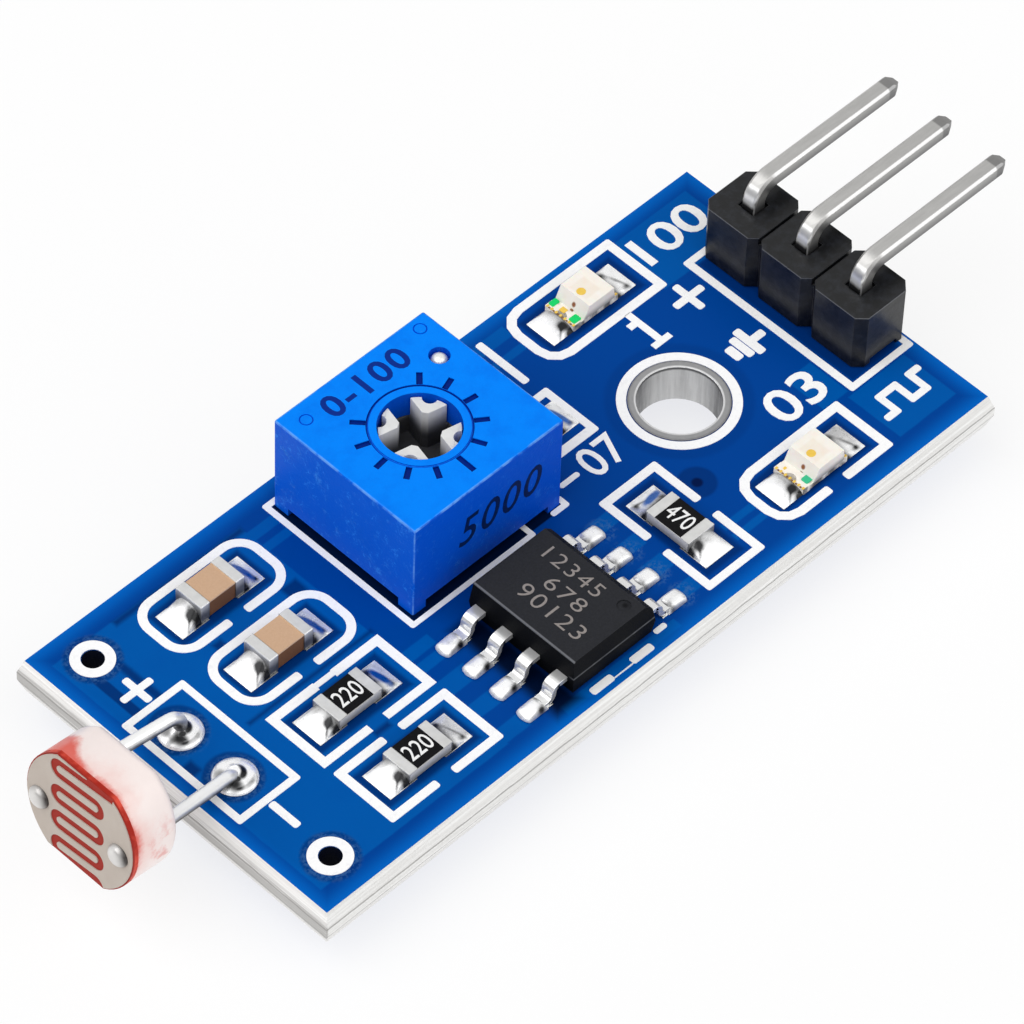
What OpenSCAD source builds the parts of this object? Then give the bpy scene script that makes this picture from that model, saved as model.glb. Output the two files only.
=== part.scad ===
// Light sensor board: comparator circuit with a photoresistor, a level trimmer and a bent pin header.
// Millimetres. Origin on the mounting hole's axis at the board's underside, +X to the header, +Z up.

/* [Board] */
// Board length along X
board_len = 32; // [31.8:0.2:34]
// Board width along Y
board_w = 14.8; // [14.6:0.2:16]
// Board thickness
board_t = 1.6; // [1.2:0.2:2]
// Scored edge, how far each face steps in
score_in = 0.2; // [0.1:0.05:0.3]
// Mounting hole bore diameter
hole_d = 3; // [2.6:0.1:3.2]
// Mounting hole distance from the sensor edge
hole_inset = 24; // [23.6:0.2:24.4]
// Wall of the metal sleeve in the mounting hole
hole_wall = 0.2; // [0.18:0.02:0.22]
// Rim width of the sleeve on the board's faces
hole_rim = 0.3; // [0.26:0.02:0.4]
// Copper and plating thickness
copper_t = 0.05; // [0.03:0.01:0.08]
// Tooling hole diameter
tooling_d = 0.8; // [0.6:0.1:1]
// Tooling hole distance from the sensor edge
tooling_inset = 1.87; // [1.6:0.1:2.2]
// Tooling hole distance from the centre line
tooling_off = 5.66; // [5.4:0.1:5.8]
// Rim width of the pads round the pin holes
pad_rim = 0.35; // [0.3:0.01:0.4]
// How far every pin stands out under the board
tail_len = 1.4; // [1.2:0.1:1.8]

/* [Photoresistor] */
// Disc diameter
disc_d = 5.05; // [4.8:0.05:5.3]
// Disc height between its two flats
disc_flat = 4.32; // [4.24:0.04:4.6]
// Disc thickness of the ceramic
disc_t = 1.85; // [1.6:0.1:2.2]
// Film thickness on the disc's face
film_t = 0.2; // [0.1:0.05:0.3]
// Electrode plate thickness
plate_t = 0.04; // [0.03:0.01:0.06]
// Disc face distance from the board's sensor edge
disc_reach = 3.9; // [3.6:0.1:4.4]
// Disc centre height over the board
disc_lift = 1.73; // [1.65:0.01:1.85]
// Disc centre distance from the centre line
disc_off = 0.06; // [-0.1:0.02:0.3]
// Disc lean, face turned up
disc_lean = 6.9; // [4:0.1:9]
// Turn of the track and the lead heads about the disc's axis
face_turn = 5.5; // [0:0.5:8]
// Wire diameter of the photoresistor leads
wire_d = 0.48; // [0.42:0.02:0.52]
// Bend radius of the leads
wire_bend = 0.55; // [0.5:0.05:0.7]
// Lead spacing at the board
wire_pitch = 2.6; // [2.5:0.05:2.7]
// Middle of the lead pads, distance from the centre line
wire_off = 0.12; // [0:0.02:0.24]
// Height at which the first lead's line meets its pad's axis, over the board
first_lift = 1; // [0.8:0.02:1.1]
// Height at which the second lead's line meets its pad's axis, over the board
second_lift = 0.28; // [0.24:0.02:0.5]
// Lead spacing at the disc's face
head_pitch = 3.72; // [3.5:0.02:3.8]
// Diameter of the lead heads on the face
head_d = 0.86; // [0.8:0.02:0.92]
// Middle of the lead heads, distance under the disc's centre
head_low = 0.19; // [0:0.01:0.3]
// Lead pads distance from the sensor edge
wire_inset = 1.85; // [1.8:0.05:2]
// Dark track width
track_w = 0.29; // [0.24:0.01:0.32]
// Dark track line spacing
track_pitch = 0.57; // [0.56:0.005:0.58]
// Straight length of the track's lines
track_run = 1.65; // [1.5:0.05:1.7]
// Bare rim round the electrode plates
plate_in = 0.05; // [0.03:0.01:0.08]

/* [Trimmer] */
// Trimmer length along X
trim_l = 7; // [6.8:0.1:7.1]
// Trimmer width along Y
trim_w = 6.7; // [6.5:0.1:6.8]
// Trimmer height over the board
trim_h = 4.4; // [4.2:0.1:4.8]
// Trimmer centre distance from the sensor edge
trim_x = 14.31; // [14.1:0.1:14.4]
// Trimmer centre distance from the centre line
trim_y = 2.97; // [2.9:0.05:3.1]
// Standoff height of the trimmer's feet
trim_foot = 0.36; // [0.3:0.02:0.44]
// Wall thickness of the trimmer's cover
trim_wall = 0.35; // [0.3:0.01:0.36]
// Adjuster opening diameter
opening_d = 2.92; // [2.8:0.04:3]
// Running clearance round the adjuster
adjuster_gap = 0.05; // [0.03:0.01:0.08]
// Depth of the adjuster's top under the cover's top
adjuster_drop = 0.16; // [0.1:0.02:0.3]
// Driver slot width
slot_w = 0.88; // [0.7:0.02:0.9]
// Driver slot depth
slot_deep = 1.8; // [1.5:0.1:1.9]
// Turn of the adjuster at rest
adjuster_turn = -13; // [-30:1:30]
// Angle of the dial's first mark
mark_start = 132; // [128:0.5:135]
// Angle from one dial mark to the next
mark_step = 27.4; // [27:0.1:28]
// Length of the dial marks
mark_len = 0.54; // [0.4:0.02:0.6]
// Length of the dial's middle mark
mark_long = 0.8; // [0.5:0.02:0.82]
// Pin spacing of the trimmer
trim_pitch = 2.54; // [2.5:0.02:2.58]

/* [Comparator] */
// Package length along Y
chip_l = 4.9; // [4.8:0.05:5]
// Package width along X
chip_w = 3.9; // [3.8:0.05:4]
// Package height without its standoff
chip_h = 1.58; // [1.45:0.05:1.65]
// Standoff under the package
chip_stand = 0.14; // [0.1:0.02:0.2]
// Lead spacing
chip_pitch = 1.27; // [1.25:0.01:1.29]
// Lead width
chip_lead_w = 0.5; // [0.42:0.01:0.52]
// Lead thickness
chip_lead_t = 0.2; // [0.18:0.01:0.22]
// Inner bend radius of the leads
chip_bend = 0.18; // [0.14:0.01:0.18]
// Lead tip to lead tip
chip_span = 6.4; // [6.2:0.1:6.6]
// Package centre distance from the sensor edge
chip_x = 14.13; // [14.05:0.01:14.15]
// Pad length under each lead
chip_land_l = 1.2; // [1.1:0.05:1.3]
// Pad width under each lead
chip_land_w = 0.6; // [0.56:0.01:0.64]
// How far the pads reach past the lead tips
chip_land_out = 0.6; // [0.5:0.05:0.65]
// Package centre distance from the centre line
chip_y = -4.08; // [-4.15:0.05:-4]

/* [Header] */
// Pin spacing
pin_pitch = 2.54; // [2.5:0.02:2.56]
// Pin width
pin_w = 0.64; // [0.6:0.01:0.66]
// Header body height
block_h = 2.54; // [2.4:0.02:2.8]
// Corner cut of each header block
block_cut = 0.34; // [0.25:0.01:0.45]
// Header centre distance from the header edge
header_inset = 1.4; // [1.35:0.05:1.6]
// Header centre distance from the centre line
header_y = 0.44; // [0.3:0.02:0.6]
// Pin centre height over the board after the bend
pin_high = 3.5; // [3.4:0.1:3.8]
// Corner cut along the pins' edges
pin_cut = 0.1; // [0.06:0.01:0.12]
// Bend radius at the pin's middle
pin_bend = 0.75; // [0.5:0.05:0.8]
// Pin tip distance from the pin's own column
pin_reach = 7.1; // [6.5:0.1:7.6]

/* [Chips] */
// First chip part of the column, distance from the sensor edge
column_x = 6.45; // [6.35:0.05:6.55]
// First chip part of the column, distance from the centre line
column_y = 4.85; // [4.8:0.05:4.95]
// Spacing of the column's chip parts
column_pitch = 3.19; // [3.1:0.01:3.2]
// Side step from one chip part of the column to the next
column_step = 0.1; // [0:0.02:0.1]
// Third resistor, distance from the sensor edge
third_x = 19.98; // [19.9:0.02:20.1]
// Third resistor, distance from the centre line
third_y = -3.9; // [-4:0.02:-3.8]
// Gap between the trimmer and the fourth resistor
fourth_gap = 0.14; // [0.12:0.02:0.3]
// Fourth resistor, distance from the centre line
fourth_y = 2.34; // [2.2:0.02:2.5]
// Power light, distance from the header edge
power_inset = 7.34; // [7.2:0.02:7.4]
// Power light, distance from the centre line
power_y = 5.38; // [5.3:0.01:5.45]
// Output light, distance from the header edge
output_inset = 6.92; // [6.8:0.02:7]
// Output light, distance from the centre line
output_y = -5.15; // [-5.2:0.01:-5]
// Chip part length
part_l = 2; // [1.9:0.05:2.05]
// Chip part width
part_w = 1.25; // [1.2:0.05:1.3]
// Capacitor height
cap_h = 0.85; // [0.8:0.05:1]
// Resistor height
res_h = 0.48; // [0.45:0.01:0.55]
// End band length
band_l = 0.4; // [0.35:0.05:0.45]
// End band metal thickness
band_t = 0.04; // [0.03:0.01:0.05]
// Solder pad pair length, end to end
land_l = 3.78; // [3.7:0.02:3.85]
// Solder pad pair length of an indicator, end to end
light_land_l = 4.04; // [3.9:0.02:4.1]
// Indicator length
light_l = 2.16; // [2:0.02:2.2]
// Indicator width
light_w = 1.4; // [1.3:0.02:1.44]
// Solder pad width
land_w = 1.34; // [1.3:0.02:1.4]
// Gap between the two solder pads
land_gap = 1.3; // [1.2:0.1:1.4]
// Radius of the half round notch in each end of an indicator
notch_r = 0.26; // [0.2:0.02:0.3]
// Indicator base height
base_h = 0.26; // [0.22:0.02:0.3]
// Indicator lens height over its base
lens_h = 0.5; // [0.4:0.05:0.6]
// Indicator lens length at its foot
lens_l = 1.5; // [1.4:0.05:1.5]
// Slope of the lens's end over the notch
lens_slope = 0.24; // [0.1:0.02:0.3]

/* [Hidden] */
$fn = 96;
x0 = -hole_inset;
top = board_t;
land_top = board_t + copper_t;
score_deep = board_t * 0.375;
tooling_x = x0 + tooling_inset;
hole_r = hole_d / 2;
tail_z = -tail_len;

wire_r = wire_d / 2;
wire_x = x0 + wire_inset;
wire_hole = wire_d / 2 + 0.15;
face_x = x0 - disc_reach;
disc_z = top + disc_lift;
wire_run = wire_x - face_x;
head_sink = 0.25;

trim_cx = x0 + trim_x;
opening_r = opening_d / 2;
boss_r = opening_r - adjuster_gap;
rotor_x = trim_cx - 0.15;
rotor_y = trim_y - 0.2;
trim_top = top + trim_h;
roof_t = 1.1;
roof_z = trim_top - roof_t;
mark_from = opening_r + 0.36;
mark_w = 0.22;
flange_r = opening_r + 0.7;
flange_t = 1.1;
flange_z = roof_z - adjuster_gap - flange_t;
seal_z = top + trim_foot + 0.1;
seal_t = 0.6;
element_z = seal_z + seal_t;
element_t = 0.5;
track_z = element_z + element_t;
track_t = 0.04;
track_r = 1.52;
track_band = 0.64;
wiper_t = 0.15;
trim_pin_r = 0.25;
trim_hole = trim_pin_r + 0.15;
trim_pins = [[-trim_pitch, trim_pitch / 2], [0, -trim_pitch / 2], [trim_pitch, trim_pitch / 2]];
stud_x = trim_cx + 2.5;
stud_y = trim_y + 1.56;
stud_r = 0.38;

chip_cx = x0 + chip_x;
chip_z = top + chip_stand;
part_line = chip_z + chip_h * 0.38;
foot_z = land_top;
chip_knee = chip_w / 2 + 0.3;
chip_heel = chip_knee + 2 * chip_bend + chip_lead_t;
chip_pad_end = chip_span / 2 + chip_land_out;
chip_land_r = chip_land_w * 0.56;

header_cx = x0 + board_len - header_inset;
header_l = 3 * pin_pitch;
header_z = land_top;
pin_hole = pin_w / 2 * sqrt(2) + 0.06;
pin_top = top + pin_high;
cone_h = 0.95;

lens_shift = (light_l / 2 - lens_l / 2) * 0.55;
die_r = 0.17;

x_end = x0 + board_len;
column_spots = [for (k = [0 : 3]) [x0 + column_x + k * column_step, column_y - k * column_pitch, 0]];
cap_spots = [column_spots[0], column_spots[1]];
third_spot = [x0 + third_x, third_y, 90];
fourth_spot = [trim_cx + trim_l / 2 + fourth_gap + part_l / 2, fourth_y, 0];
res_spots = [column_spots[2], column_spots[3], third_spot, fourth_spot];
led_spots = [[x_end - power_inset, power_y, 0], [x_end - output_inset, output_y, 0]];

// Shared shapes

module slab(l, w, h) {
  translate([-l / 2, -w / 2, 0])
    cube([l, w, h]);
}

module tube(outer, inner, h) {
  difference() {
    cylinder(r = outer, h = h);
    translate([0, 0, -1])
      cylinder(r = inner, h = h + 2);
  }
}

// Puts a child at every through pin of one kind
module at_wires() {
  for (side = [-1, 1])
    translate([wire_x, wire_off + side * wire_pitch / 2, 0])
      children();
}

module at_trim_pins() {
  for (spot = trim_pins)
    translate([trim_cx + spot[0], trim_y + spot[1], 0])
      children();
}

module at_header_pins() {
  for (step = [-1, 0, 1])
    translate([header_cx, header_y + step * pin_pitch, 0])
      children();
}

// Board

module score(length, up) {
  rotate([90, 0, 0])
    translate([0, 0, -length / 2 - 1])
      linear_extrude(length + 2)
        polygon([[-1, -up], [-1, score_deep], [0, score_deep], [score_in, 0], [score_in, -up]]);
}

module scores_of_face() {
  translate([-board_len / 2, 0, 0])
    score(board_w, 1);
  rotate([0, 0, 180])
    translate([-board_len / 2, 0, 0])
      score(board_w, 1);
  rotate([0, 0, 90])
    translate([-board_w / 2, 0, 0])
      score(board_len, 1);
  rotate([0, 0, -90])
    translate([-board_w / 2, 0, 0])
      score(board_len, 1);
}

module circuit_board() {
  color([0.05, 0.3, 0.62])
    difference() {
      translate([x0, -board_w / 2, 0])
        cube([board_len, board_w, board_t]);
      translate([x0 + board_len / 2, 0, 0])
        scores_of_face();
      translate([x0 + board_len / 2, 0, board_t])
        mirror([0, 0, 1])
          scores_of_face();
      translate([0, 0, -1])
        cylinder(r = hole_r + hole_wall, h = board_t + 2);
      for (side = [-1, 1])
        translate([tooling_x, side * tooling_off, -1])
          cylinder(d = tooling_d, h = board_t + 2);
      at_wires()
        through(wire_hole);
      at_trim_pins()
        through(trim_hole);
      at_header_pins()
        through(pin_hole);
    }
}

module through(r) {
  translate([0, 0, -1])
    cylinder(r = r + copper_t, h = board_t + 2);
}

module mounting_hole_plating() {
  color([0.8, 0.8, 0.82])
    difference() {
      union() {
        cylinder(r = hole_r + hole_wall, h = board_t);
        translate([0, 0, -copper_t])
          cylinder(r = hole_r + hole_rim, h = copper_t);
        translate([0, 0, board_t])
          cylinder(r = hole_r + hole_rim, h = copper_t);
      }
      translate([0, 0, -1])
        cylinder(r = hole_r, h = board_t + 2);
    }
}

module eyelet(r) {
  difference() {
    union() {
      cylinder(r = r + copper_t, h = board_t);
      translate([0, 0, -copper_t])
        cylinder(r = r + pad_rim, h = copper_t);
      translate([0, 0, board_t])
        cylinder(r = r + pad_rim, h = copper_t);
    }
    translate([0, 0, -1])
      cylinder(r = r, h = board_t + 2);
  }
}

module plated_holes() {
  color([0.82, 0.8, 0.74]) {
    at_wires()
      eyelet(wire_hole);
    at_trim_pins()
      eyelet(trim_hole);
    at_header_pins()
      eyelet(pin_hole);
  }
}

module land_pair(long) {
  for (side = [-1, 1])
    translate([side * (long + land_gap) / 4, 0, top])
      slab((long - land_gap) / 2, land_w, copper_t);
}

// Outline of one comparator pad with its round outer end
module land_outline(cut) {
  middle = chip_pad_end - chip_land_r;
  translate([chip_pad_end - chip_land_l, cut - chip_land_w / 2])
    square([middle - chip_pad_end + chip_land_l, chip_land_w - 2 * cut]);
  translate([middle, 0])
    circle(r = chip_land_r - cut);
}

module chip_land() {
  translate([0, 0, top])
    linear_extrude(copper_t)
      land_outline(0);
}

module at_part(spot) {
  translate([spot[0], spot[1], 0])
    rotate([0, 0, spot[2]])
      children();
}

module surface_pads() {
  color([0.84, 0.84, 0.82]) {
    for (spot = concat(cap_spots, res_spots))
      at_part(spot)
        land_pair(land_l);
    for (spot = led_spots)
      at_part(spot)
        land_pair(light_land_l);
    for (k = [0 : 7])
      at_chip_lead(k)
        chip_land();
  }
}

// Photoresistor

// Frame with its origin on the disc's back face, +Z out of the lit face
module at_disc() {
  translate([face_x, disc_off, disc_z])
    rotate([0, disc_lean - 90, 0])
      children();
}

module disc_outline(cut = 0) {
  intersection() {
    circle(d = disc_d - 2 * cut);
    square([disc_flat - 2 * cut, disc_d + 2], center = true);
  }
}

// Places of the lead heads on the face, sideways and upwards from the disc's centre
function head_out(side) = side * head_pitch / 2 * cos(face_turn);
function head_up(side) = -head_low - side * head_pitch / 2 * sin(face_turn);

// Way of each lead from its pad to its head: along X, along Y and upwards
function lead_run(side) = wire_run - head_up(side) * sin(disc_lean);
function lead_side(side) = disc_off + head_out(side) - wire_off - side * wire_pitch / 2;
function lead_lift(side) = top + (side > 0 ? first_lift : second_lift);
function lead_rise(side) = disc_z + head_up(side) * cos(disc_lean) - lead_lift(side);

// One lead from its tail to well past the disc
module wire_path(side) {
  turn = 90 - atan2(lead_rise(side), norm([lead_run(side), lead_side(side)]));
  bend_z = lead_lift(side) - wire_bend * tan(turn / 2);
  translate([wire_x, wire_off + side * wire_pitch / 2, 0])
    rotate([0, 0, 180 - atan2(lead_side(side), lead_run(side))]) {
      translate([0, 0, tail_z])
        cylinder(r = wire_r, h = bend_z - tail_z);
      translate([wire_bend, 0, bend_z])
        rotate([0, turn, 0]) {
          rotate([90, 0, 0])
            rotate([0, 0, 180])
              rotate_extrude(angle = turn)
                translate([wire_bend, 0])
                  circle(r = wire_r);
          translate([-wire_bend, 0, 0])
            cylinder(r = wire_r, h = wire_run * 1.5);
        }
    }
}

module lead(side) {
  color([0.8, 0.8, 0.8]) {
    difference() {
      wire_path(side);
      at_disc()
        translate([-10, -10, 0.06])
          cube([20, 20, 20]);
    }
    at_disc()
      translate([head_up(side), head_out(side), 0])
        intersection() {
          translate([0, 0, -head_sink])
            sphere(r = norm([head_d / 2, head_sink]));
          translate([-2, -2, 0])
            cube(4);
        }
  }
}

module photoresistor_lead_1() {
  lead(1);
}

module photoresistor_lead_2() {
  lead(-1);
}

module photoresistor_disc() {
  color([0.95, 0.85, 0.82])
    difference() {
      at_disc()
        translate([0, 0, -plate_t - film_t - disc_t])
          linear_extrude(disc_t)
            disc_outline();
      wire_path(1);
      wire_path(-1);
    }
}

module photoresistor_film() {
  color([0.5, 0.1, 0.08])
    difference() {
      at_disc()
        translate([0, 0, -plate_t - film_t])
          linear_extrude(film_t)
            disc_outline();
      wire_path(1);
      wire_path(-1);
    }
}

// Winding track: eight lines joined by round turns, lines along Y
module track_turn(x, y, open) {
  translate([x, y]) {
    difference() {
      circle(d = track_pitch + track_w);
      circle(d = track_pitch - track_w);
      translate([-2, open > 0 ? -4 : 0])
        square([4, 4]);
    }
  }
}

module track_shape() {
  half = track_run / 2;
  rotate([0, 0, face_turn])
    translate([-0.05, 0.11]) {
      for (k = [0 : 7])
        translate([(k - 3.5) * track_pitch - track_w / 2, -half])
          square([track_w, 2 * half]);
      translate([3.5 * track_pitch - track_w / 2, -2 * half])
        square([track_w, half + 0.1]);
      for (k = [0 : 3])
        track_turn((2 * k - 3) * track_pitch, half, 1);
      for (k = [-1 : 2])
        track_turn((2 * k - 2) * track_pitch, -half, -1);
    }
}

module photoresistor_plates() {
  color([0.75, 0.7, 0.66])
    difference() {
      at_disc()
        translate([0, 0, -plate_t])
          linear_extrude(plate_t)
            difference() {
              disc_outline(plate_in);
              track_shape();
            }
      wire_path(1);
      wire_path(-1);
    }
}

// Trimmer

module tick(angle, long) {
  rotate([0, 0, angle])
    translate([mark_from, -mark_w / 2, trim_top - 0.08])
      cube([long, mark_w, 1]);
}

module trimmer_housing() {
  color([0.02, 0.4, 0.95])
    difference() {
      union() {
        translate([trim_cx, trim_y, top + trim_foot])
          slab(trim_l, trim_w, trim_h - trim_foot);
        for (sx = [-1, 1])
          for (sy = [-1, 1])
            translate([trim_cx + sx * (trim_l / 2 - 0.3), trim_y + sy * (trim_w / 2 - 0.35), top])
              slab(0.6, 0.7, trim_foot);
      }
      translate([trim_cx, trim_y, top - 1])
        slab(trim_l - 2 * trim_wall, trim_w - 2 * trim_wall, roof_z - top + 1);
      translate([rotor_x, rotor_y, roof_z - 1])
        cylinder(r = opening_r, h = roof_t + 2);
      translate([rotor_x, rotor_y, trim_top - 0.06])
        tube(opening_r + 0.36, opening_r + 0.27, 1);
      translate([rotor_x, rotor_y, 0])
        for (k = [0 : 10])
          tick(mark_start + k * mark_step, k == 5 ? mark_long : mark_len);
      translate([stud_x, stud_y, trim_top - 0.35])
        cylinder(r = stud_r, h = 1);
      for (spot = [[2.86, 2.85], [-2.7, 2.62]])
        translate([trim_cx + spot[0], trim_y + spot[1], trim_top - 0.03])
          tube(0.25, 0.2, 1);
    }
}

module trimmer_stud() {
  color([0.85, 0.85, 0.85])
    translate([stud_x, stud_y, trim_top - 0.35])
      difference() {
        translate([0, 0, 0.02])
          sphere(r = stud_r - 0.06);
        translate([-1, -1, -2])
          cube([2, 2, 2]);
      }
}

module lobe_notch(angle) {
  rotate([0, 0, angle])
    translate([boss_r + 0.02, 0, trim_top - adjuster_drop - 0.7])
      cylinder(r = 0.27, h = 1);
}

// Cross slot, with the tips between its arms cut back
module cross_outline() {
  tip_cut = 0.16;
  square([2 * boss_r + 0.02, slot_w], center = true);
  square([slot_w, 2 * boss_r + 0.02], center = true);
  rotate([0, 0, 45])
    square((slot_w + tip_cut) * sqrt(2), center = true);
}

module trimmer_rotor() {
  color([0.9, 0.9, 0.9])
    translate([rotor_x, rotor_y, 0])
      rotate([0, 0, adjuster_turn])
        difference() {
          union() {
            translate([0, 0, flange_z])
              cylinder(r = flange_r, h = flange_t);
            translate([0, 0, flange_z])
              cylinder(r = boss_r, h = trim_top - adjuster_drop - flange_z);
          }
          translate([0, 0, trim_top - adjuster_drop - slot_deep])
            linear_extrude(slot_deep + 1)
              cross_outline();
          for (k = [0 : 3])
            lobe_notch(45 + 90 * k);
        }
}

module trimmer_wiper() {
  color([0.85, 0.7, 0.35])
    translate([rotor_x, rotor_y, 0])
      rotate([0, 0, adjuster_turn]) {
        translate([0, 0, flange_z - wiper_t])
          cylinder(r = 0.9, h = wiper_t);
        translate([0, -0.25, flange_z - wiper_t])
          cube([track_r + 0.2, 0.5, wiper_t]);
        translate([track_r, 0, track_z + track_t + 0.03])
          cylinder(r = 0.2, h = flange_z - wiper_t - track_z - track_t - 0.03);
      }
}

module trimmer_element() {
  color([0.93, 0.93, 0.9])
    difference() {
      translate([trim_cx, trim_y, element_z])
        slab(trim_l - 2 * trim_wall, trim_w - 2 * trim_wall, element_t);
      terminal_pins();
    }
}

module trimmer_track() {
  color([0.12, 0.12, 0.12])
    translate([rotor_x, rotor_y, track_z])
      difference() {
        tube(track_r + track_band / 2, track_r - track_band / 2, track_t);
        rotate([0, 0, 225])
          translate([0, 0, -1])
            cube([4, 4, 4]);
      }
}

module trimmer_seal() {
  color([0.35, 0.3, 0.25])
    difference() {
      translate([trim_cx, trim_y, seal_z])
        slab(trim_l - 2 * trim_wall, trim_w - 2 * trim_wall, seal_t);
      terminal_pins();
    }
}

module terminal_pins() {
  at_trim_pins()
    translate([0, 0, tail_z])
      cylinder(r = trim_pin_r, h = track_z - tail_z);
}

module trimmer_terminals() {
  color([0.8, 0.8, 0.78])
    terminal_pins();
}

// Comparator

// Lead places, one to four down the header side, five to eight up the sensor side
module at_chip_lead(k) {
  near = k > 3;
  row = near ? 7 - k : k;
  translate([chip_cx, chip_y + (row - 1.5) * chip_pitch, 0])
    rotate([0, 0, near ? 180 : 0])
      children();
}

module package_side(w, cut) {
  polygon([[-w / 2 + 0.08, chip_z], [w / 2 - 0.08, chip_z], [w / 2, part_line],
    [w / 2 - 0.1, chip_z + chip_h - cut], [w / 2 - 0.1 - cut, chip_z + chip_h],
    [-w / 2 + 0.1, chip_z + chip_h], [-w / 2, part_line]]);
}

module package_end(w) {
  polygon([[-w / 2 + 0.08, chip_z], [w / 2 - 0.08, chip_z], [w / 2, part_line],
    [w / 2 - 0.1, chip_z + chip_h], [-w / 2 + 0.1, chip_z + chip_h], [-w / 2, part_line]]);
}

module comparator_body() {
  color([0.13, 0.13, 0.14])
    difference() {
      translate([chip_cx, chip_y, 0])
        intersection() {
          translate([0, chip_l, 0])
            rotate([90, 0, 0])
              linear_extrude(2 * chip_l)
                package_side(chip_w, 0.34);
          translate([-chip_w, 0, 0])
            rotate([90, 0, 90])
              linear_extrude(2 * chip_w)
                package_end(chip_l);
        }
      for (k = [0 : 7])
        chip_lead(k);
      translate([chip_cx + 1.05, chip_y - 1.8, chip_z + chip_h - 0.06])
        cylinder(r = 0.25, h = 1);
    }
}

// Bent strip in the plane of X and Z, from inside the package to the toe
module strip_profile() {
  t = chip_lead_t;
  r = chip_bend;
  z_low = foot_z;
  knee = chip_knee;
  translate([chip_w / 2 - 0.5, part_line - t / 2])
    square([0.5 + knee - chip_w / 2, t]);
  bend_quarter(knee, part_line - t / 2 - r, 1, 1);
  translate([knee + r, z_low + t + r])
    square([t, part_line - t / 2 - r - z_low - t - r]);
  bend_quarter(knee + 2 * r + t, z_low + t + r, -1, -1);
  translate([knee + 2 * r + t, z_low])
    square([chip_span / 2 - knee - 2 * r - t, t]);
}

module bend_quarter(x, z, sx, sz) {
  r = chip_bend;
  translate([x, z])
    intersection() {
      difference() {
        circle(r = r + chip_lead_t);
        circle(r = r);
      }
      translate([sx > 0 ? 0 : -1, sz > 0 ? 0 : -1])
        square([1, 1]);
    }
}

module chip_lead(k) {
  at_chip_lead(k)
    translate([0, chip_lead_w / 2, 0])
      rotate([90, 0, 0])
        linear_extrude(chip_lead_w)
          strip_profile();
}

module comparator_lead_1() {
  color([0.82, 0.82, 0.82])
    chip_lead(0);
}

module comparator_lead_2() {
  color([0.82, 0.82, 0.82])
    chip_lead(1);
}

module comparator_lead_3() {
  color([0.82, 0.82, 0.82])
    chip_lead(2);
}

module comparator_lead_4() {
  color([0.82, 0.82, 0.82])
    chip_lead(3);
}

module comparator_lead_5() {
  color([0.82, 0.82, 0.82])
    chip_lead(4);
}

module comparator_lead_6() {
  color([0.82, 0.82, 0.82])
    chip_lead(5);
}

module comparator_lead_7() {
  color([0.82, 0.82, 0.82])
    chip_lead(6);
}

module comparator_lead_8() {
  color([0.82, 0.82, 0.82])
    chip_lead(7);
}

// Header

module cut_square(w, c) {
  h = w / 2;
  polygon([[-h + c, -h], [h - c, -h], [h, -h + c], [h, h - c], [h - c, h], [-h + c, h], [-h, h - c], [-h, -h + c]]);
}

module header_body() {
  color([0.12, 0.12, 0.13])
    difference() {
      at_header_pins()
        translate([0, 0, header_z])
          linear_extrude(block_h)
            cut_square(pin_pitch, block_cut);
      for (side = [-1, 1])
        translate([header_cx, header_y + side * pin_pitch / 2, header_z + block_h - 0.35])
          slab(pin_pitch + 1, 0.12, 1);
      translate([header_cx, header_y, header_z - 1])
        slab(1.3, header_l + 1, 1.22);
      at_header_pins() {
        linear_extrude(10)
          cut_square(pin_w, pin_cut);
        translate([0, 0, header_z + block_h - 0.16])
          slab(pin_w + 0.14, pin_w + 0.14, 1);
      }
    }
}

module tip_profile(long) {
  w = pin_w / 2;
  t = pin_w * 0.53;
  n = pin_w * 0.28;
  translate([0, w, 0])
    rotate([90, 0, 0])
      linear_extrude(pin_w)
        polygon([[-w, 0], [w, 0], [w, long - t], [w - n, long], [-w + n, long], [-w, long - t]]);
}

// Straight stretch of a pin with its tapered tip
module rod(long) {
  intersection() {
    linear_extrude(long)
      cut_square(pin_w, pin_cut);
    tip_profile(long);
    rotate([0, 0, 90])
      tip_profile(long);
  }
}

module pin_shape() {
  mid = top + 1;
  translate([0, 0, mid])
    mirror([0, 0, 1])
      rod(mid - tail_z);
  translate([0, 0, mid])
    linear_extrude(pin_top - pin_bend - mid)
      cut_square(pin_w, pin_cut);
  translate([pin_bend, 0, pin_top - pin_bend])
    rotate([90, 0, 0])
      rotate([0, 0, 90])
        rotate_extrude(angle = 90)
          translate([pin_bend, 0])
            cut_square(pin_w, pin_cut);
  translate([pin_bend, 0, pin_top])
    rotate([0, 90, 0])
      rod(pin_reach - pin_bend);
}

module header_pin(step) {
  color([0.85, 0.85, 0.84])
    translate([header_cx, header_y + step * pin_pitch, 0])
      pin_shape();
}

module header_pin_1() {
  header_pin(1);
}

module header_pin_2() {
  header_pin(0);
}

module header_pin_3() {
  header_pin(-1);
}

// Chip parts

// Ceramic core between its end bands
module core(h) {
  translate([0, 0, land_top + band_t])
    slab(part_l - 2 * band_t, part_w - 2 * band_t, h - 2 * band_t);
}

module cup_bands(h) {
  for (side = [-1, 1])
    difference() {
      translate([side * (part_l - band_l) / 2, 0, land_top])
        slab(band_l, part_w, h);
      core(h);
    }
}

module capacitor_body(k) {
  color([0.78, 0.64, 0.5])
    at_part(cap_spots[k])
      core(cap_h);
}

module capacitor_bands(k) {
  color([0.82, 0.82, 0.82])
    at_part(cap_spots[k])
      cup_bands(cap_h);
}

module capacitor_1_body() {
  capacitor_body(0);
}

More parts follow.
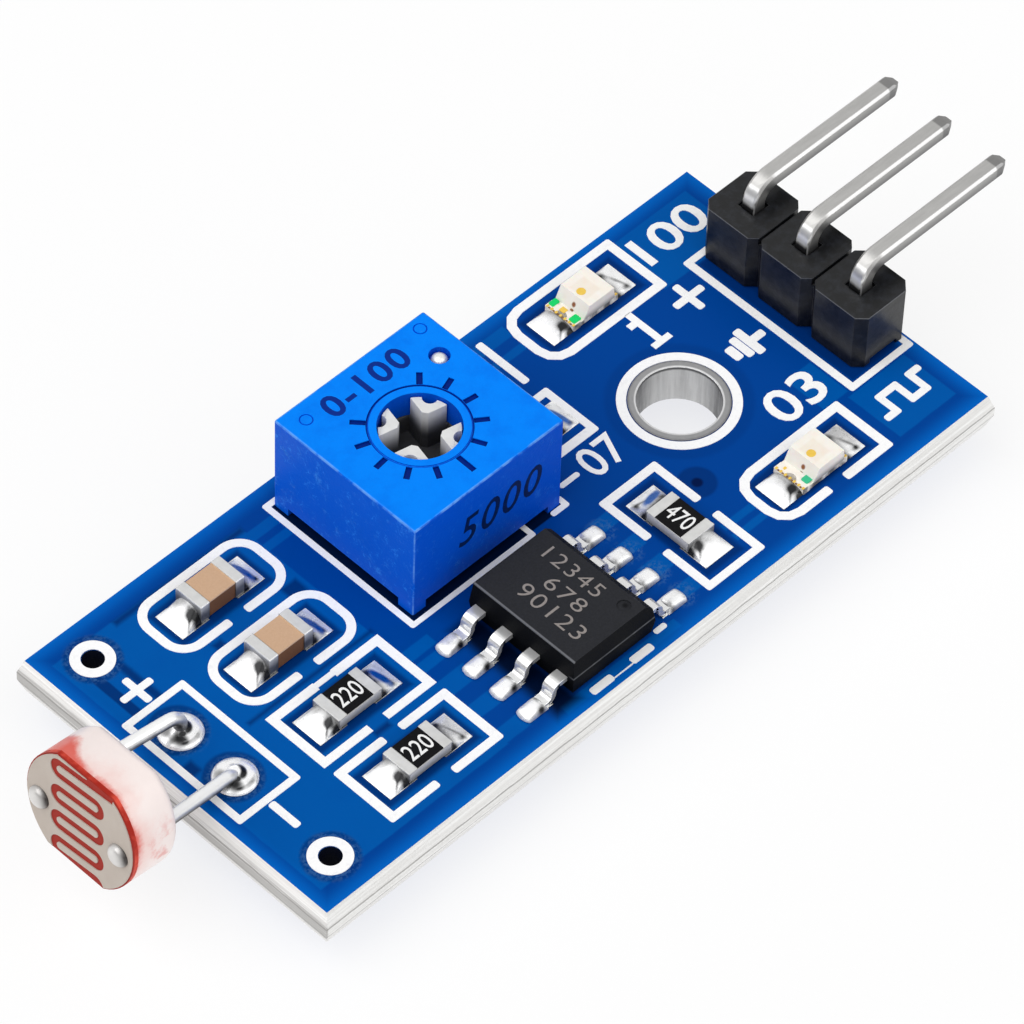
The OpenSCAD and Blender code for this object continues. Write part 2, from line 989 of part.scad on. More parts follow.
module capacitor_1_bands() {
  capacitor_bands(0);
}

module capacitor_2_body() {
  capacitor_body(1);
}

module capacitor_2_bands() {
  capacitor_bands(1);
}

module ceramic(h) {
  translate([0, 0, land_top + band_t])
    slab(part_l - 2 * band_t, part_w, h - 2 * band_t);
}

module resistor_body(k) {
  color([0.62, 0.62, 0.62])
    at_part(res_spots[k])
      ceramic(res_h);
}

module resistor_bands(k) {
  color([0.82, 0.82, 0.82])
    at_part(res_spots[k])
      for (side = [-1, 1])
        difference() {
          translate([side * (part_l - band_l) / 2, 0, land_top])
            slab(band_l, part_w, res_h);
          ceramic(res_h);
        }
}

module resistor_cover(k) {
  color([0.06, 0.06, 0.06])
    at_part(res_spots[k])
      translate([0, 0, land_top + res_h - band_t])
        slab(part_l - 2 * band_l, part_w - 0.06, band_t + 0.02);
}

module resistor_1_body() {
  resistor_body(0);
}

module resistor_1_cover() {
  resistor_cover(0);
}

module resistor_1_bands() {
  resistor_bands(0);
}

module resistor_2_body() {
  resistor_body(1);
}

module resistor_2_cover() {
  resistor_cover(1);
}

module resistor_2_bands() {
  resistor_bands(1);
}

module resistor_3_body() {
  resistor_body(2);
}

module resistor_3_cover() {
  resistor_cover(2);
}

module resistor_3_bands() {
  resistor_bands(2);
}

module resistor_4_body() {
  resistor_body(3);
}

module resistor_4_cover() {
  resistor_cover(3);
}

module resistor_4_bands() {
  resistor_bands(3);
}

// Indicator lights

module light_base(k) {
  color([0.96, 0.93, 0.88])
    at_part(led_spots[k])
      difference() {
        translate([0, 0, land_top + band_t])
          slab(light_l - 2 * band_t, light_w, base_h - 2 * band_t);
        end_notches(notch_r + band_t);
      }
}

module end_notches(r) {
  for (side = [-1, 1])
    translate([side * light_l / 2, 0, 0])
      cylinder(r = r, h = 10);
}

// Gold contact round each end, with a half round notch
module light_contacts(k) {
  color([0.9, 0.75, 0.35])
    at_part(led_spots[k])
      for (side = [-1, 1])
        difference() {
          translate([side * (light_l - 0.34) / 2, 0, land_top])
            slab(0.34, light_w, base_h);
          difference() {
            translate([0, 0, land_top + band_t])
              slab(light_l - 2 * band_t, light_w + 1, base_h - 2 * band_t);
            end_notches(notch_r + band_t);
          }
          end_notches(notch_r);
        }
}

module die_block() {
  translate([lens_shift, 0, land_top + base_h - band_t])
    cylinder(r = die_r, h = 0.2);
}

module light_lens(k) {
  h = lens_h + band_t;
  color([0.97, 0.95, 0.88])
    at_part(led_spots[k])
      difference() {
        translate([lens_shift, light_w / 2, land_top + base_h - band_t])
          rotate([90, 0, 0])
            linear_extrude(light_w)
              polygon([[-lens_l / 2, 0], [lens_l / 2, 0], [lens_l / 2 - 0.05, h], [-lens_l / 2 + lens_slope, h]]);
        die_block();
      }
}

module light_die(k) {
  color([0.95, 0.8, 0.25])
    at_part(led_spots[k])
      die_block();
}

module power_light_base() {
  light_base(0);
}

module power_light_lens() {
  light_lens(0);
}

module power_light_die() {
  light_die(0);
}

module power_light_contacts() {
  light_contacts(0);
}

module output_light_base() {
  light_base(1);
}

module output_light_lens() {
  light_lens(1);
}

module output_light_die() {
  light_die(1);
}

module output_light_contacts() {
  light_contacts(1);
}

// Solder

// Cone under the board and filling of one through hole
module joint_below(hole, tip) {
  translate([0, 0, -copper_t - cone_h])
    cylinder(r1 = tip, r2 = hole + pad_rim - 0.05, h = cone_h);
  translate([0, 0, -copper_t])
    cylinder(r = hole, h = board_t + copper_t);
}

module photoresistor_solder() {
  color([0.86, 0.86, 0.86])
    difference() {
      at_wires() {
        joint_below(wire_hole, wire_r + 0.1);
        translate([0, 0, board_t])
          cylinder(r = wire_hole, h = copper_t);
        translate([0, 0, land_top])
          rotate_extrude()
            polygon([[0, 0], [wire_hole + 0.34, 0], [wire_hole + 0.3, 0.1], [wire_hole + 0.18, 0.17],
              [wire_hole + 0.06, 0.2], [wire_r + 0.02, 0.3], [0, 0.32]]);
      }
      wire_path(1);
      wire_path(-1);
    }
}

module trimmer_solder() {
  color([0.86, 0.86, 0.86])
    difference() {
      at_trim_pins()
        joint_below(trim_hole, trim_pin_r + 0.1);
      terminal_pins();
    }
}

module header_solder() {
  color([0.86, 0.86, 0.86])
    difference() {
      at_header_pins()
        joint_below(pin_hole, pin_w * 0.71 + 0.08);
      at_header_pins()
        pin_shape();
    }
}

// Solder over each toe of the comparator
module comparator_solder() {
  heel = chip_heel;
  toe = chip_pad_end;
  color([0.88, 0.88, 0.88])
    difference() {
      for (k = [0 : 7])
        at_chip_lead(k)
          intersection() {
            translate([0, 1, 0])
              rotate([90, 0, 0])
                linear_extrude(2)
                  polygon([[heel, land_top], [toe, land_top], [toe, land_top + 0.05],
                    [toe - 0.4, land_top + 0.2], [heel + 0.3, land_top + 0.26], [heel + 0.08, land_top + 0.18]]);
            linear_extrude(5)
              land_outline(0.02);
          }
      for (k = [0 : 7])
        chip_lead(k);
    }
}

// Solder wedges at both ends of a chip part
module fillet(long, high, part) {
  reach = long / 2 - 0.03;
  for (side = [0, 180])
    rotate([0, 0, side])
      translate([0, land_w / 2 - 0.05, 0])
        rotate([90, 0, 0])
          linear_extrude(land_w - 0.1)
            polygon([[part / 2, land_top], [reach, land_top], [reach - 0.02, land_top + 0.06],
              [reach - 0.3, land_top + high * 0.42], [part / 2 + 0.22, land_top + high * 0.75],
              [part / 2, land_top + high]]);
}

module chip_solder() {
  color([0.88, 0.88, 0.88]) {
    for (spot = cap_spots)
      at_part(spot)
        fillet(land_l, cap_h * 0.66, part_l);
    for (spot = res_spots)
      at_part(spot)
        fillet(land_l, res_h * 0.86, part_l);
    for (spot = led_spots)
      at_part(spot)
        difference() {
          fillet(light_land_l, base_h * 0.9, light_l);
          end_notches(notch_r);
        }
  }
}

circuit_board();
mounting_hole_plating();
plated_holes();
surface_pads();
photoresistor_disc();
photoresistor_film();
photoresistor_plates();
photoresistor_lead_1();
photoresistor_lead_2();
trimmer_housing();
trimmer_rotor();
trimmer_wiper();
trimmer_element();
trimmer_track();
trimmer_seal();
trimmer_terminals();
trimmer_stud();
comparator_body();
comparator_lead_1();
comparator_lead_2();
comparator_lead_3();
comparator_lead_4();
comparator_lead_5();
comparator_lead_6();
comparator_lead_7();
comparator_lead_8();
header_body();
header_pin_1();
header_pin_2();
header_pin_3();
capacitor_1_body();
capacitor_1_bands();
capacitor_2_body();
capacitor_2_bands();
resistor_1_body();
resistor_1_cover();
resistor_1_bands();
resistor_2_body();
resistor_2_cover();
resistor_2_bands();
resistor_3_body();
resistor_3_cover();
resistor_3_bands();
resistor_4_body();
resistor_4_cover();
resistor_4_bands();
power_light_base();
power_light_lens();
power_light_die();
power_light_contacts();
output_light_base();
output_light_lens();
output_light_die();
output_light_contacts();
photoresistor_solder();
trimmer_solder();
header_solder();
comparator_solder();
chip_solder();
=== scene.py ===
import math

import bmesh
import bpy
from mathutils import Euler, Matrix, Vector


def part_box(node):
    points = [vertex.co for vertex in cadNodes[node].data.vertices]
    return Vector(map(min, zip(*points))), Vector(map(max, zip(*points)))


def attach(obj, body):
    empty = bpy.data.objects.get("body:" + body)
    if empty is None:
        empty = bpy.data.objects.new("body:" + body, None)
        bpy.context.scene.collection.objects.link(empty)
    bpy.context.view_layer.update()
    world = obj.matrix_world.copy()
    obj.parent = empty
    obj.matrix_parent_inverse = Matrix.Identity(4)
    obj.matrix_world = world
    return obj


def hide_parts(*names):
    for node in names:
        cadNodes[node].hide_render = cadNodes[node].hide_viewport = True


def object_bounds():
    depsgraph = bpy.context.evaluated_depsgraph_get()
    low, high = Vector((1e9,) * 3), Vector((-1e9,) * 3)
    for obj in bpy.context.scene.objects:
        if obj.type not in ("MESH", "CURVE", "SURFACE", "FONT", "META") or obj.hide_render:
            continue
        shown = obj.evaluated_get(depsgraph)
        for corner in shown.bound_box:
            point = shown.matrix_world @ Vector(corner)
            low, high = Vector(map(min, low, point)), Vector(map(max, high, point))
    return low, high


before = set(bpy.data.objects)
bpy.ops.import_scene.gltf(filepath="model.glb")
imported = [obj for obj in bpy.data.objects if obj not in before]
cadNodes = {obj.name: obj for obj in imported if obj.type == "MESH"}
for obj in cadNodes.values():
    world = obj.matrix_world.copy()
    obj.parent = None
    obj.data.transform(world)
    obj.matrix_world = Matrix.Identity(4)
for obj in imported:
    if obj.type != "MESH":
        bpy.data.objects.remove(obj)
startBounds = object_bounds()

# Lengths are in millimetres in the CAD frame; meshes are scaled to metres as they are made
toMetres = 0.001
boardTop = 1.6
padTop = 1.65


# A colour from its levels of 0 to 255
def tint(red, green, blue):
    levels = [v / 255 for v in (red, green, blue)]
    return tuple(v / 12.92 if v < 0.04 else ((v + 0.055) / 1.055) ** 2.4 for v in levels) + (1.0,)


def plug(tree, entry, value):
    if isinstance(value, Wire):
        tree.links.new(value.socket, entry)
    else:
        entry.default_value = value


# Settings come first, then the values or links of the sockets
def addNode(tree, kind, settings, inputs):
    node = tree.nodes.new(kind)
    for key, value in settings.items():
        setattr(node, key, value)
    for key, value in inputs.items():
        plug(tree, node.inputs[key], value)
    return node


# A socket that Python's operators add Math nodes to
class Wire:
    def __init__(self, tree, socket):
        self.tree = tree
        self.socket = socket

    def maths(self, kind, *others):
        inputs = dict(enumerate((self,) + others))
        return Wire(self.tree, addNode(self.tree, "ShaderNodeMath", {"operation": kind}, inputs).outputs[0])

    def __add__(self, other):
        return self.maths("ADD", other)

    def __sub__(self, other):
        return self.maths("SUBTRACT", other)

    def __mul__(self, other):
        return self.maths("MULTIPLY", other)

    def __truediv__(self, other):
        return self.maths("DIVIDE", other)

    def __pow__(self, other):
        return self.maths("POWER", other)

    def __neg__(self):
        return self * -1

    def __rsub__(self, other):
        return -self + other

    __radd__ = __add__
    __rmul__ = __mul__

    def size(self):
        return self.maths("ABSOLUTE")

    def least(self, other):
        return self.maths("MINIMUM", other)

    def most(self, other):
        return self.maths("MAXIMUM", other)

    # Smooth step from 0 at the low value to 1 at the high one
    def rise(self, low, high):
        inputs = dict(enumerate((self, low, high, 0.0, 1.0)))
        node = addNode(self.tree, "ShaderNodeMapRange", {"interpolation_type": "SMOOTHSTEP"}, inputs)
        return Wire(self.tree, node.outputs[0])


# A material: what is the same all over goes on the shader's sockets, the methods add what varies
class Paint:
    def __init__(self, name, look):
        self.material = bpy.data.materials.new(name)
        self.material.use_nodes = True
        self.tree = self.material.node_tree
        self.shader = self.tree.nodes["Principled BSDF"]
        self.held = {}
        for key, value in look.items():
            self.set(key, value)

    def set(self, key, value):
        plug(self.tree, self.shader.inputs[key], value)

    def node(self, kind, settings, inputs, out=0):
        return Wire(self.tree, addNode(self.tree, kind, settings, inputs).outputs[out])

    # Object coordinates in millimetres, stretched or squeezed for a pattern
    def place(self, stretch=(1, 1, 1)):
        if stretch not in self.held:
            where = self.node("ShaderNodeTexCoord", {}, {}, "Object")
            inputs = {0: where, 1: tuple(v / toMetres for v in stretch)}
            self.held[stretch] = self.node("ShaderNodeVectorMath", {"operation": "MULTIPLY"}, inputs)
        return self.held[stretch]

    def axes(self):
        if "axes" not in self.held:
            parts = addNode(self.tree, "ShaderNodeSeparateXYZ", {}, {0: self.place()})
            self.held["axes"] = [Wire(self.tree, out) for out in parts.outputs]
        return self.held["axes"]

    def noise(self, scale, detail=3.0, stretch=(1, 1, 1), rough=0.55):
        inputs = {"Vector": self.place(stretch), "Scale": scale, "Detail": detail, "Roughness": rough}
        return self.node("ShaderNodeTexNoise", {}, inputs)

    # A number that the piece's own mesh carries
    def own(self, name):
        return self.node("ShaderNodeAttribute", {"attribute_name": name}, {}, 2)

    # 1 where the surface faces up, -1 where it faces down
    def upward(self):
        surface = self.node("ShaderNodeNewGeometry", {}, {}, 1)
        return self.node("ShaderNodeVectorMath", {"operation": "DOT_PRODUCT"}, {0: surface, 1: (0, 0, 1)}, 1)

    # Colours are links or levels of 0 to 255
    def mix(self, factor, *colours):
        first, second = (c if isinstance(c, Wire) else tint(*c) for c in colours)
        return self.node("ShaderNodeMix", {"data_type": "RGBA"}, {0: factor, 6: first, 7: second}, 2)

    def mottle(self, first, second, scale, detail=3.0):
        return self.mix(self.noise(scale, detail), first, second)

    def colour(self, factor, *colours):
        self.set("Base Color", self.mix(factor, *colours))

    def bump(self, height, deep, strength=1.0):
        inputs = {"Height": height, "Distance": deep * toMetres, "Strength": strength}
        self.set("Normal", self.node("ShaderNodeBump", {}, inputs))


def mottledPaint(name, look, pair, scale, detail=3.0):
    paint = Paint(name, look)
    paint.set("Base Color", paint.mottle(*pair, scale, detail))
    return paint


def metalPaint(name, base, rough, wave=0.0, deep=0.0, metallic=1.0):
    spread = 0.08
    paint = Paint(name, {"Base Color": tint(*base), "Metallic": metallic})
    paint.set("Roughness", paint.noise(3.0, 4.0) * spread * 2 + (rough - spread))
    if wave:
        paint.bump(paint.noise(wave, 2.0), deep)
    return paint


# 1 inside a box of x from, x to, y from, y to
def boxField(x, y, box, soft=0.045):
    across = (x - (box[0] + box[1]) / 2).size() - (box[1] - box[0]) / 2
    along = (y - (box[2] + box[3]) / 2).size() - (box[3] - box[2]) / 2
    return (across.most(along) * -1).rise(-soft, soft)


# 1 inside a disc of x, y, radius
def discField(x, y, disc, soft=0.045):
    far = ((x - disc[0]) ** 2.0 + (y - disc[1]) ** 2.0) ** 0.5
    return (disc[2] - far).rise(-soft, soft)


# The greatest of several values
def joined(fields):
    whole = fields[0]
    for field in fields[1:]:
        whole = whole.most(field)
    return whole


def dress(name, paint):
    cadNodes[name].data.materials[0] = paint.material


# Rounds the edges of a CAD node with modifiers
def soften(name, width, segments=2, angle=40):
    mesh = cadNodes[name].data
    if "custom_normal" in mesh.attributes:
        mesh.attributes.remove(mesh.attributes["custom_normal"])
    for face in mesh.polygons:
        face.use_smooth = True
    weld = cadNodes[name].modifiers.new("join", "WELD")
    weld.merge_threshold = 1e-7
    bevel = cadNodes[name].modifiers.new("edges", "BEVEL")
    bevel.width = width * toMetres
    bevel.segments = segments
    bevel.limit_method = "ANGLE"
    bevel.angle_limit = math.radians(angle)
    bevel.harden_normals = True


# Makes a piece of a finished form; it may stand for CAD nodes
def pieceOf(name, form, paint, body="board", stands=(), sharp=35):
    bmesh.ops.recalc_face_normals(form, faces=form.faces)
    form.transform(Matrix.Scale(toMetres, 4))
    mesh = bpy.data.meshes.new(name)
    form.to_mesh(mesh)
    form.free()
    for face in mesh.polygons:
        face.use_smooth = True
    mesh.set_sharp_from_angle(angle=math.radians(sharp))
    mesh.materials.append(paint.material)
    piece = bpy.data.objects.new(name, mesh)
    bpy.context.scene.collection.objects.link(piece)
    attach(piece, body)
    if stands:
        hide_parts(*stands)
    return piece


# Keeps the level and upright faces flat and weighs the rest by area
def evenOut(piece):
    for face in piece.data.polygons:
        if max(abs(v) for v in face.normal) > 0.9999:
            face.use_smooth = False
    even = piece.modifiers.new("even", "WEIGHTED_NORMAL")
    even.keep_sharp = True
    even.weight = 60


# A CAD node's shape with its loose triangles joined
def copyOf(name):
    form = bmesh.new()
    form.from_mesh(cadNodes[name].data)
    form.transform(Matrix.Scale(1 / toMetres, 4))
    bmesh.ops.remove_doubles(form, verts=form.verts, dist=0.0005)
    bmesh.ops.dissolve_limit(form, angle_limit=math.radians(0.5), verts=form.verts, edges=form.edges)
    return form


def middle(name):
    low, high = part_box(name)
    return (low + high) / 2 / toMetres


def rimEdges(form, test, angle=40):
    limit = math.radians(angle)
    found = []
    for edge in form.edges:
        bent = len(edge.link_faces) == 2 and edge.calc_face_angle(0) > limit
        if bent and all(test(v.co) for v in edge.verts):
            found.append(edge)
    return found


def roundEdges(form, edges, width, segments):
    bmesh.ops.bevel(form, geom=edges, offset=width, offset_type="OFFSET", segments=segments, profile=0.5,
                    affect="EDGES", clamp_overlap=True, material=-1)


strokeCorner = 0.09


# Raises a flat shape to a slab and rounds its outer corners
def thicken(form, faces, low, thick, corner):
    for v in {v for face in faces for v in face.verts}:
        v.co.z = low
    made = bmesh.ops.extrude_face_region(form, geom=faces)["geom"]
    raised = [part for part in made if isinstance(part, bmesh.types.BMVert)]
    bmesh.ops.translate(form, vec=(0, 0, thick), verts=raised)
    walls = {edge for v in raised for edge in v.link_edges
             if abs(edge.verts[0].co.z - edge.verts[1].co.z) > thick / 2}
    for face in faces:
        face.normal_update()
    around = {f for e in walls for f in e.link_faces} | {f for v in raised for f in v.link_faces}
    bmesh.ops.recalc_face_normals(form, faces=list(around | set(faces)))
    turns = [edge for edge in walls if edge.is_convex and edge.calc_face_angle(0) > math.radians(60)]
    if corner and turns:
        roundEdges(form, turns, corner, 3)


# Joined upright bars, given as x from, x to, y from, y to
def barShape(form, bars, low, thick, corner=strokeCorner):
    xs = sorted({v for bar in bars for v in bar[:2]})
    ys = sorted({v for bar in bars for v in bar[2:]})
    made = bmesh.ops.create_grid(form, x_segments=len(xs) - 1, y_segments=len(ys) - 1, size=1)["verts"]
    for v in made:
        column = round((v.co.x + 1) / 2 * (len(xs) - 1))
        row = round((v.co.y + 1) / 2 * (len(ys) - 1))
        v.co.x, v.co.y = xs[column], ys[row]
    faces = list({face for v in made for face in v.link_faces})
    kept, lost = [], []
    for face in faces:
        c = face.calc_center_median()
        inside = any(b[0] < c.x < b[1] and b[2] < c.y < b[3] for b in bars)
        (kept if inside else lost).append(face)
    bmesh.ops.delete(form, geom=lost, context="FACES")
    thicken(form, kept, low, thick, corner)


# Closed band with round or cut corners and gaps in its sides
def bandShape(form, look, low, thick):
    x1, x2, y1, y2 = look["box"]
    verts = bmesh.ops.create_grid(form, x_segments=1, y_segments=1, size=0.5)["verts"]
    bmesh.ops.scale(form, vec=(x2 - x1, y2 - y1, 1), verts=verts)
    bmesh.ops.translate(form, vec=((x1 + x2) / 2, (y1 + y2) / 2, 0), verts=verts)
    turned = [v for v in verts if look["round"] == "all" or v.co.x < (x1 + x2) / 2]
    bmesh.ops.bevel(form, geom=turned, offset=look["corner"], offset_type="OFFSET", segments=look["steps"],
                    profile=0.5, affect="VERTICES", clamp_overlap=True, material=-1)
    face = max(form.faces, key=lambda f: f.calc_area())
    ring = bmesh.ops.inset_region(form, faces=[face], thickness=look["stroke"], use_even_offset=True,
                                  use_boundary=True)["faces"]
    bmesh.ops.delete(form, geom=[face], context="FACES_ONLY")
    for gap in look["gaps"]:
        for at in gap[:2]:
            geom = {part for f in ring if f.is_valid for part in (f, *f.edges, *f.verts)}
            cut = bmesh.ops.bisect_plane(form, geom=list(geom), dist=1e-6, plane_co=(at, 0, 0),
                                         plane_no=(1, 0, 0))["geom"]
            parts = {part for part in cut if isinstance(part, bmesh.types.BMFace)}
            ring = list({f for f in ring if f.is_valid} | parts)
        lost = []
        for f in ring:
            c = f.calc_center_median()
            if gap[0] < c.x < gap[1] and gap[2] < c.y < gap[3]:
                lost.append(f)
        ring = [f for f in ring if f not in lost]
        bmesh.ops.delete(form, geom=lost, context="FACES")
    thicken(form, ring, low, thick, strokeCorner)


def ringShape(form, centre, inner, outer, low, thick):
    made = bmesh.ops.create_circle(form, cap_ends=True, radius=outer, segments=72)["verts"]
    face = made[0].link_faces[0]
    faces = bmesh.ops.inset_region(form, faces=[face], thickness=outer - inner, use_even_offset=True,
                                   use_boundary=True)["faces"]
    bmesh.ops.delete(form, geom=[face], context="FACES_ONLY")
    for v in {v for f in faces for v in f.verts}:
        v.co.x += centre[0]
        v.co.y += centre[1]
    thicken(form, faces, low, thick, 0)


# Spins a line of distances and heights about the Z axis, and gives the points that it makes
def spunShape(form, line, steps):
    before = set(form.verts)
    verts = [form.verts.new((far, 0, tall)) for far, tall in line]
    edges = [form.edges.new(pair) for pair in zip(verts, verts[1:])]
    bmesh.ops.spin(form, geom=verts + edges, cent=(0, 0, 0), axis=(0, 0, 1), angle=math.tau, steps=steps,
                   use_merge=True)
    return [v for v in form.verts if v not in before]


capShare = 0.73  # height of a numeral in the size of its font


# Characters as a slab that fills a width and height, in the plane that the matrix gives
def writing(form, text, wide, tall, bold, thick, matrix, slant=0.0, spacing=1.0):
    curve = bpy.data.curves.new("writing", "FONT")
    curve.body = text
    curve.size = tall / capShare
    curve.offset = bold
    curve.extrude = thick / 2
    curve.shear = slant
    curve.space_character = spacing
    curve.resolution_u = 4
    holder = bpy.data.objects.new("writing", curve)
    bpy.context.scene.collection.objects.link(holder)
    bpy.context.view_layer.update()
    mesh = bpy.data.meshes.new_from_object(holder)
    spots = [v.co for v in mesh.vertices]
    low = Vector([min(c[k] for c in spots) for k in range(3)])
    high = Vector([max(c[k] for c in spots) for k in range(3)])
    fit = Matrix.Diagonal((wide / (high.x - low.x), tall / (high.y - low.y), 1, 1))
    mesh.transform(matrix @ fit @ Matrix.Translation(-(low + high) / 2))
    form.from_mesh(mesh)
    bpy.data.objects.remove(holder)
    bpy.data.meshes.remove(mesh)
    bmesh.ops.remove_doubles(form, verts=form.verts, dist=1e-5)


def flatAt(x, y, z, turn=0.0):
    return Matrix.Translation((x, y, z)) @ Matrix.Rotation(math.radians(turn), 4, "Z")


# Solder on a rectangle: its height, shade and narrowing follow the run from 0 to 1
# and the width from -1 to 1
def poolShape(form, matrix, run, wide, height, shade, narrow=None, blue=None, cells=(30, 24)):
    for key in ("shade", "blue"):
        if key not in form.verts.layers.float:
            form.verts.layers.float.new(key)
    layers = [form.verts.layers.float[key] for key in ("shade", "blue")]
    made = bmesh.ops.create_grid(form, x_segments=cells[0], y_segments=cells[1], size=1)["verts"]
    for v in made:
        along, across = (v.co.x + 1) / 2, v.co.y
        half = wide / 2 * (narrow(along) if narrow else 1)
        v[layers[0]] = min(1.0, max(0.0, shade(along, across)))
        v[layers[1]] = min(1.0, max(0.0, blue(along, across))) if blue else 0.0
        v.co = Vector((run[0] + (run[1] - run[0]) * along, across * half, height(along, across)))
    faces = list({f for v in made for f in v.link_faces})
    rim = [e for e in {e for f in faces for e in f.edges} if len(e.link_faces) == 1]
    lower = bmesh.ops.extrude_edge_only(form, edges=rim)["geom"]
    base = [p for p in lower if isinstance(p, bmesh.types.BMVert)]
    for v in base:
        v.co.z = -0.002
    loop = [p for p in lower if isinstance(p, bmesh.types.BMEdge) and all(v in base for v in p.verts)]
    bmesh.ops.edgeloop_fill(form, edges=loop)
    bmesh.ops.transform(form, matrix=matrix, verts=made + base)


# A round spot that fades out from its place
def spotAt(along, across, place, reach):
    return math.exp(-(((along - place[0]) / reach[0]) ** 2 + ((across - place[1]) / reach[1]) ** 2))


# Solder, tinned wire and bands
solderLook = {"base": (240, 240, 240), "pool": (252, 252, 252), "dark": (14, 15, 18),
              "blue": (8, 88, 170), "rough": 0.17, "wave": 0.9, "deep": 0.035}
solderPaint = metalPaint("brightSolder", *[solderLook[key] for key in ("base", "rough", "wave", "deep")])
# Pooled solder is painted light and shade: each pool's own shade number darkens it where painted shadow and
# painted dark reflections fall, noise breaks that painted shade up, and where its blue number is set the
# board's colour is a painted reflection
poolPaint = Paint("pooledSolder", {"Metallic": 0.4})
shadeBreakup = poolPaint.noise(2.6, 5.0, rough=0.65).rise(0.5, 0.72) * 0.22
pool = poolPaint.mix((poolPaint.own("shade") - shadeBreakup).most(0.0), solderLook["dark"], solderLook["pool"])
mirrored = (poolPaint.own("blue") * 1.25 - poolPaint.noise(2.6, 5.0, rough=0.75) * 0.9).rise(-0.1, 0.75)
poolPaint.colour(mirrored, pool, solderLook["blue"])


def poolGloss(paint, deep):
    paint.set("Roughness", paint.noise(3.0, 4.0) * 0.16 + 0.2)
    paint.bump(paint.noise(1.6, 2.0), deep)


poolGloss(poolPaint, 0.025)
padPaint = metalPaint("padTin", (226, 225, 221), 0.24, 1.4, 0.006)
# Tinned wire is painted light on faces that point up and painted shade on faces that point down
wirePaint = Paint("tinnedWire", {"Metallic": 0.6, "Roughness": 0.34})
bright = wirePaint.upward() + (wirePaint.noise(2.5, 3.0) - 0.5) * 0.3
wirePaint.colour(bright.rise(-0.25, 0.8), (70, 70, 72), (246, 246, 245))
leadPaint = metalPaint("leadFrame", (228, 228, 227), 0.24, 2.0, 0.004, metallic=0.62)


# End bands carry painted shade that darkens down their sides, and a painted highlight along the top rim
def bandPaintOf(name, top):
    paint = Paint(name, {"Metallic": 0.7})
    z = paint.axes()[2]
    smudge = paint.noise(2.4, 4.0)
    side = paint.mix(z.rise(top - 0.5, top - 0.03), (64, 64, 66), (188, 188, 187))
    level = paint.mix(smudge, (190, 190, 188), (226, 226, 224))
    side = paint.mix(smudge * 0.4, side, (214, 214, 212))
    body = paint.mix(z.rise(top - 0.05, top - 0.012), side, level)
    rim = z.rise(top - 0.07, top - 0.04) - z.rise(top - 0.02, top - 0.008)
    paint.colour(rim * 0.7, body, (252, 252, 251))
    paint.set("Roughness", smudge * 0.2 + 0.28)
    paint.bump(paint.noise(5.0, 2.0), 0.008)
    return paint


brassPaint = metalPaint("springBrass", (206, 170, 96), 0.3)

# Board: mask with copper under it, and bare scored edges
boardLook = {
    "copper": (0, 86, 168), "bare": (0, 66, 150), "gap": (0, 42, 106), "rim": (2, 104, 200),
    "halo": (62, 108, 164), "edge": (255, 255, 254), "edgeDark": (234, 233, 231),
    "endEdge": (246, 246, 245), "endDark": (190, 189, 187), "score": (150, 149, 146), "shade": (2, 5, 16),
    "holeWall": (10, 14, 30), "via": (0, 22, 70), "scores": (1.0, 0.6), "end": (-23.97, -23.9),
    "face": (-23.8, 7.8, -7.2, 7.2),
    "areas": [(-23.3, -14.7, -6.4, 6.4), (-15.2, -13.5, 4.95, 5.3), (-15.2, -13.5, 5.6, 6.05),
              (-15.2, -13.4, -1.75, -1.25), (-15.2, -13.4, -2.4, -1.95), (-15.2, -13.4, -3.7, -2.95),
              (-15.2, -13.4, -5.0, -4.35), (-15.2, -13.4, -6.35, -5.7), (-6.4, -5.3, -2.3, -1.7),
              (-6.4, -5.3, -3.6, -3.0), (-6.4, -5.3, -4.9, -4.2), (-6.4, -5.3, -6.2, -5.6),
              (-3.6, -2.0, 6.05, 6.6), (-3.6, -2.0, 5.3, 5.62), (-3.0, -1.5, -5.1, -4.8),
              (-3.0, -1.5, -5.65, -5.35), (4.3, 7.1, -6.35, -3.9), (3.3, 7.1, 3.9, 6.6),
              (3.3, 4.5, -3.7, -1.9), (-12.4, -7.0, -6.9, -6.5)],
    "under": (-13.33, -6.2, -0.57, 6.28), "packageShade": (-12.75, -11.6, -6.75, -1.7),
    "sharpGap": (-22.82, -22.42, 2.95, 5.1),
    "gaps": [(-21.8, -21.48, 2.95, 5.1), (-19.62, -15.45, 3.95, 5.75), (-19.5, -15.35, 0.75, 2.5),
             (-19.45, -15.2, -2.45, -0.6), (-19.4, -15.15, -5.6, -3.8), (-20.3, -14.6, 0.05, 0.2),
             (-18.9, -18.5, 3.05, 3.35), (-15.6, -14.9, 2.9, 3.5), (-17.6, -16.9, -3.2, -2.95),
             (-1.55, 2.95, 4.5, 6.3), (-1.05, 3.3, -5.95, -4.2), (-4.9, -3.1, -6.05, -1.75),
             (-20.6, -14.7, 6.15, 6.4), (4.95, 7.3, -3.5, 3.9), (-23.3, -22.7, -0.2, 0.35)],
    "discs": [(-22.15, 1.55, 1.05), (-22.15, -1.12, 1.05), (-22.13, 5.66, 1.02), (-22.13, -5.66, 1.02),
              (-2.17, -2.94, 0.7)],
    "holeDisc": (0, 0, 2.6), "viaDisc": (-2.17, -2.94, 0.2),
    "toolHoles": [(-22.13, 5.66, 0.6), (-22.13, -5.66, 0.6)],
    "halos": [(-22.13, 5.66, 0.98), (-22.13, -5.66, 0.98), (-22.15, 1.42, 0.95), (-22.15, -1.18, 0.95),
              (-6.05, -2.17, 0.5), (-6.05, -3.44, 0.5), (-6.05, -4.71, 0.5), (-6.05, -5.98, 0.5)],
}


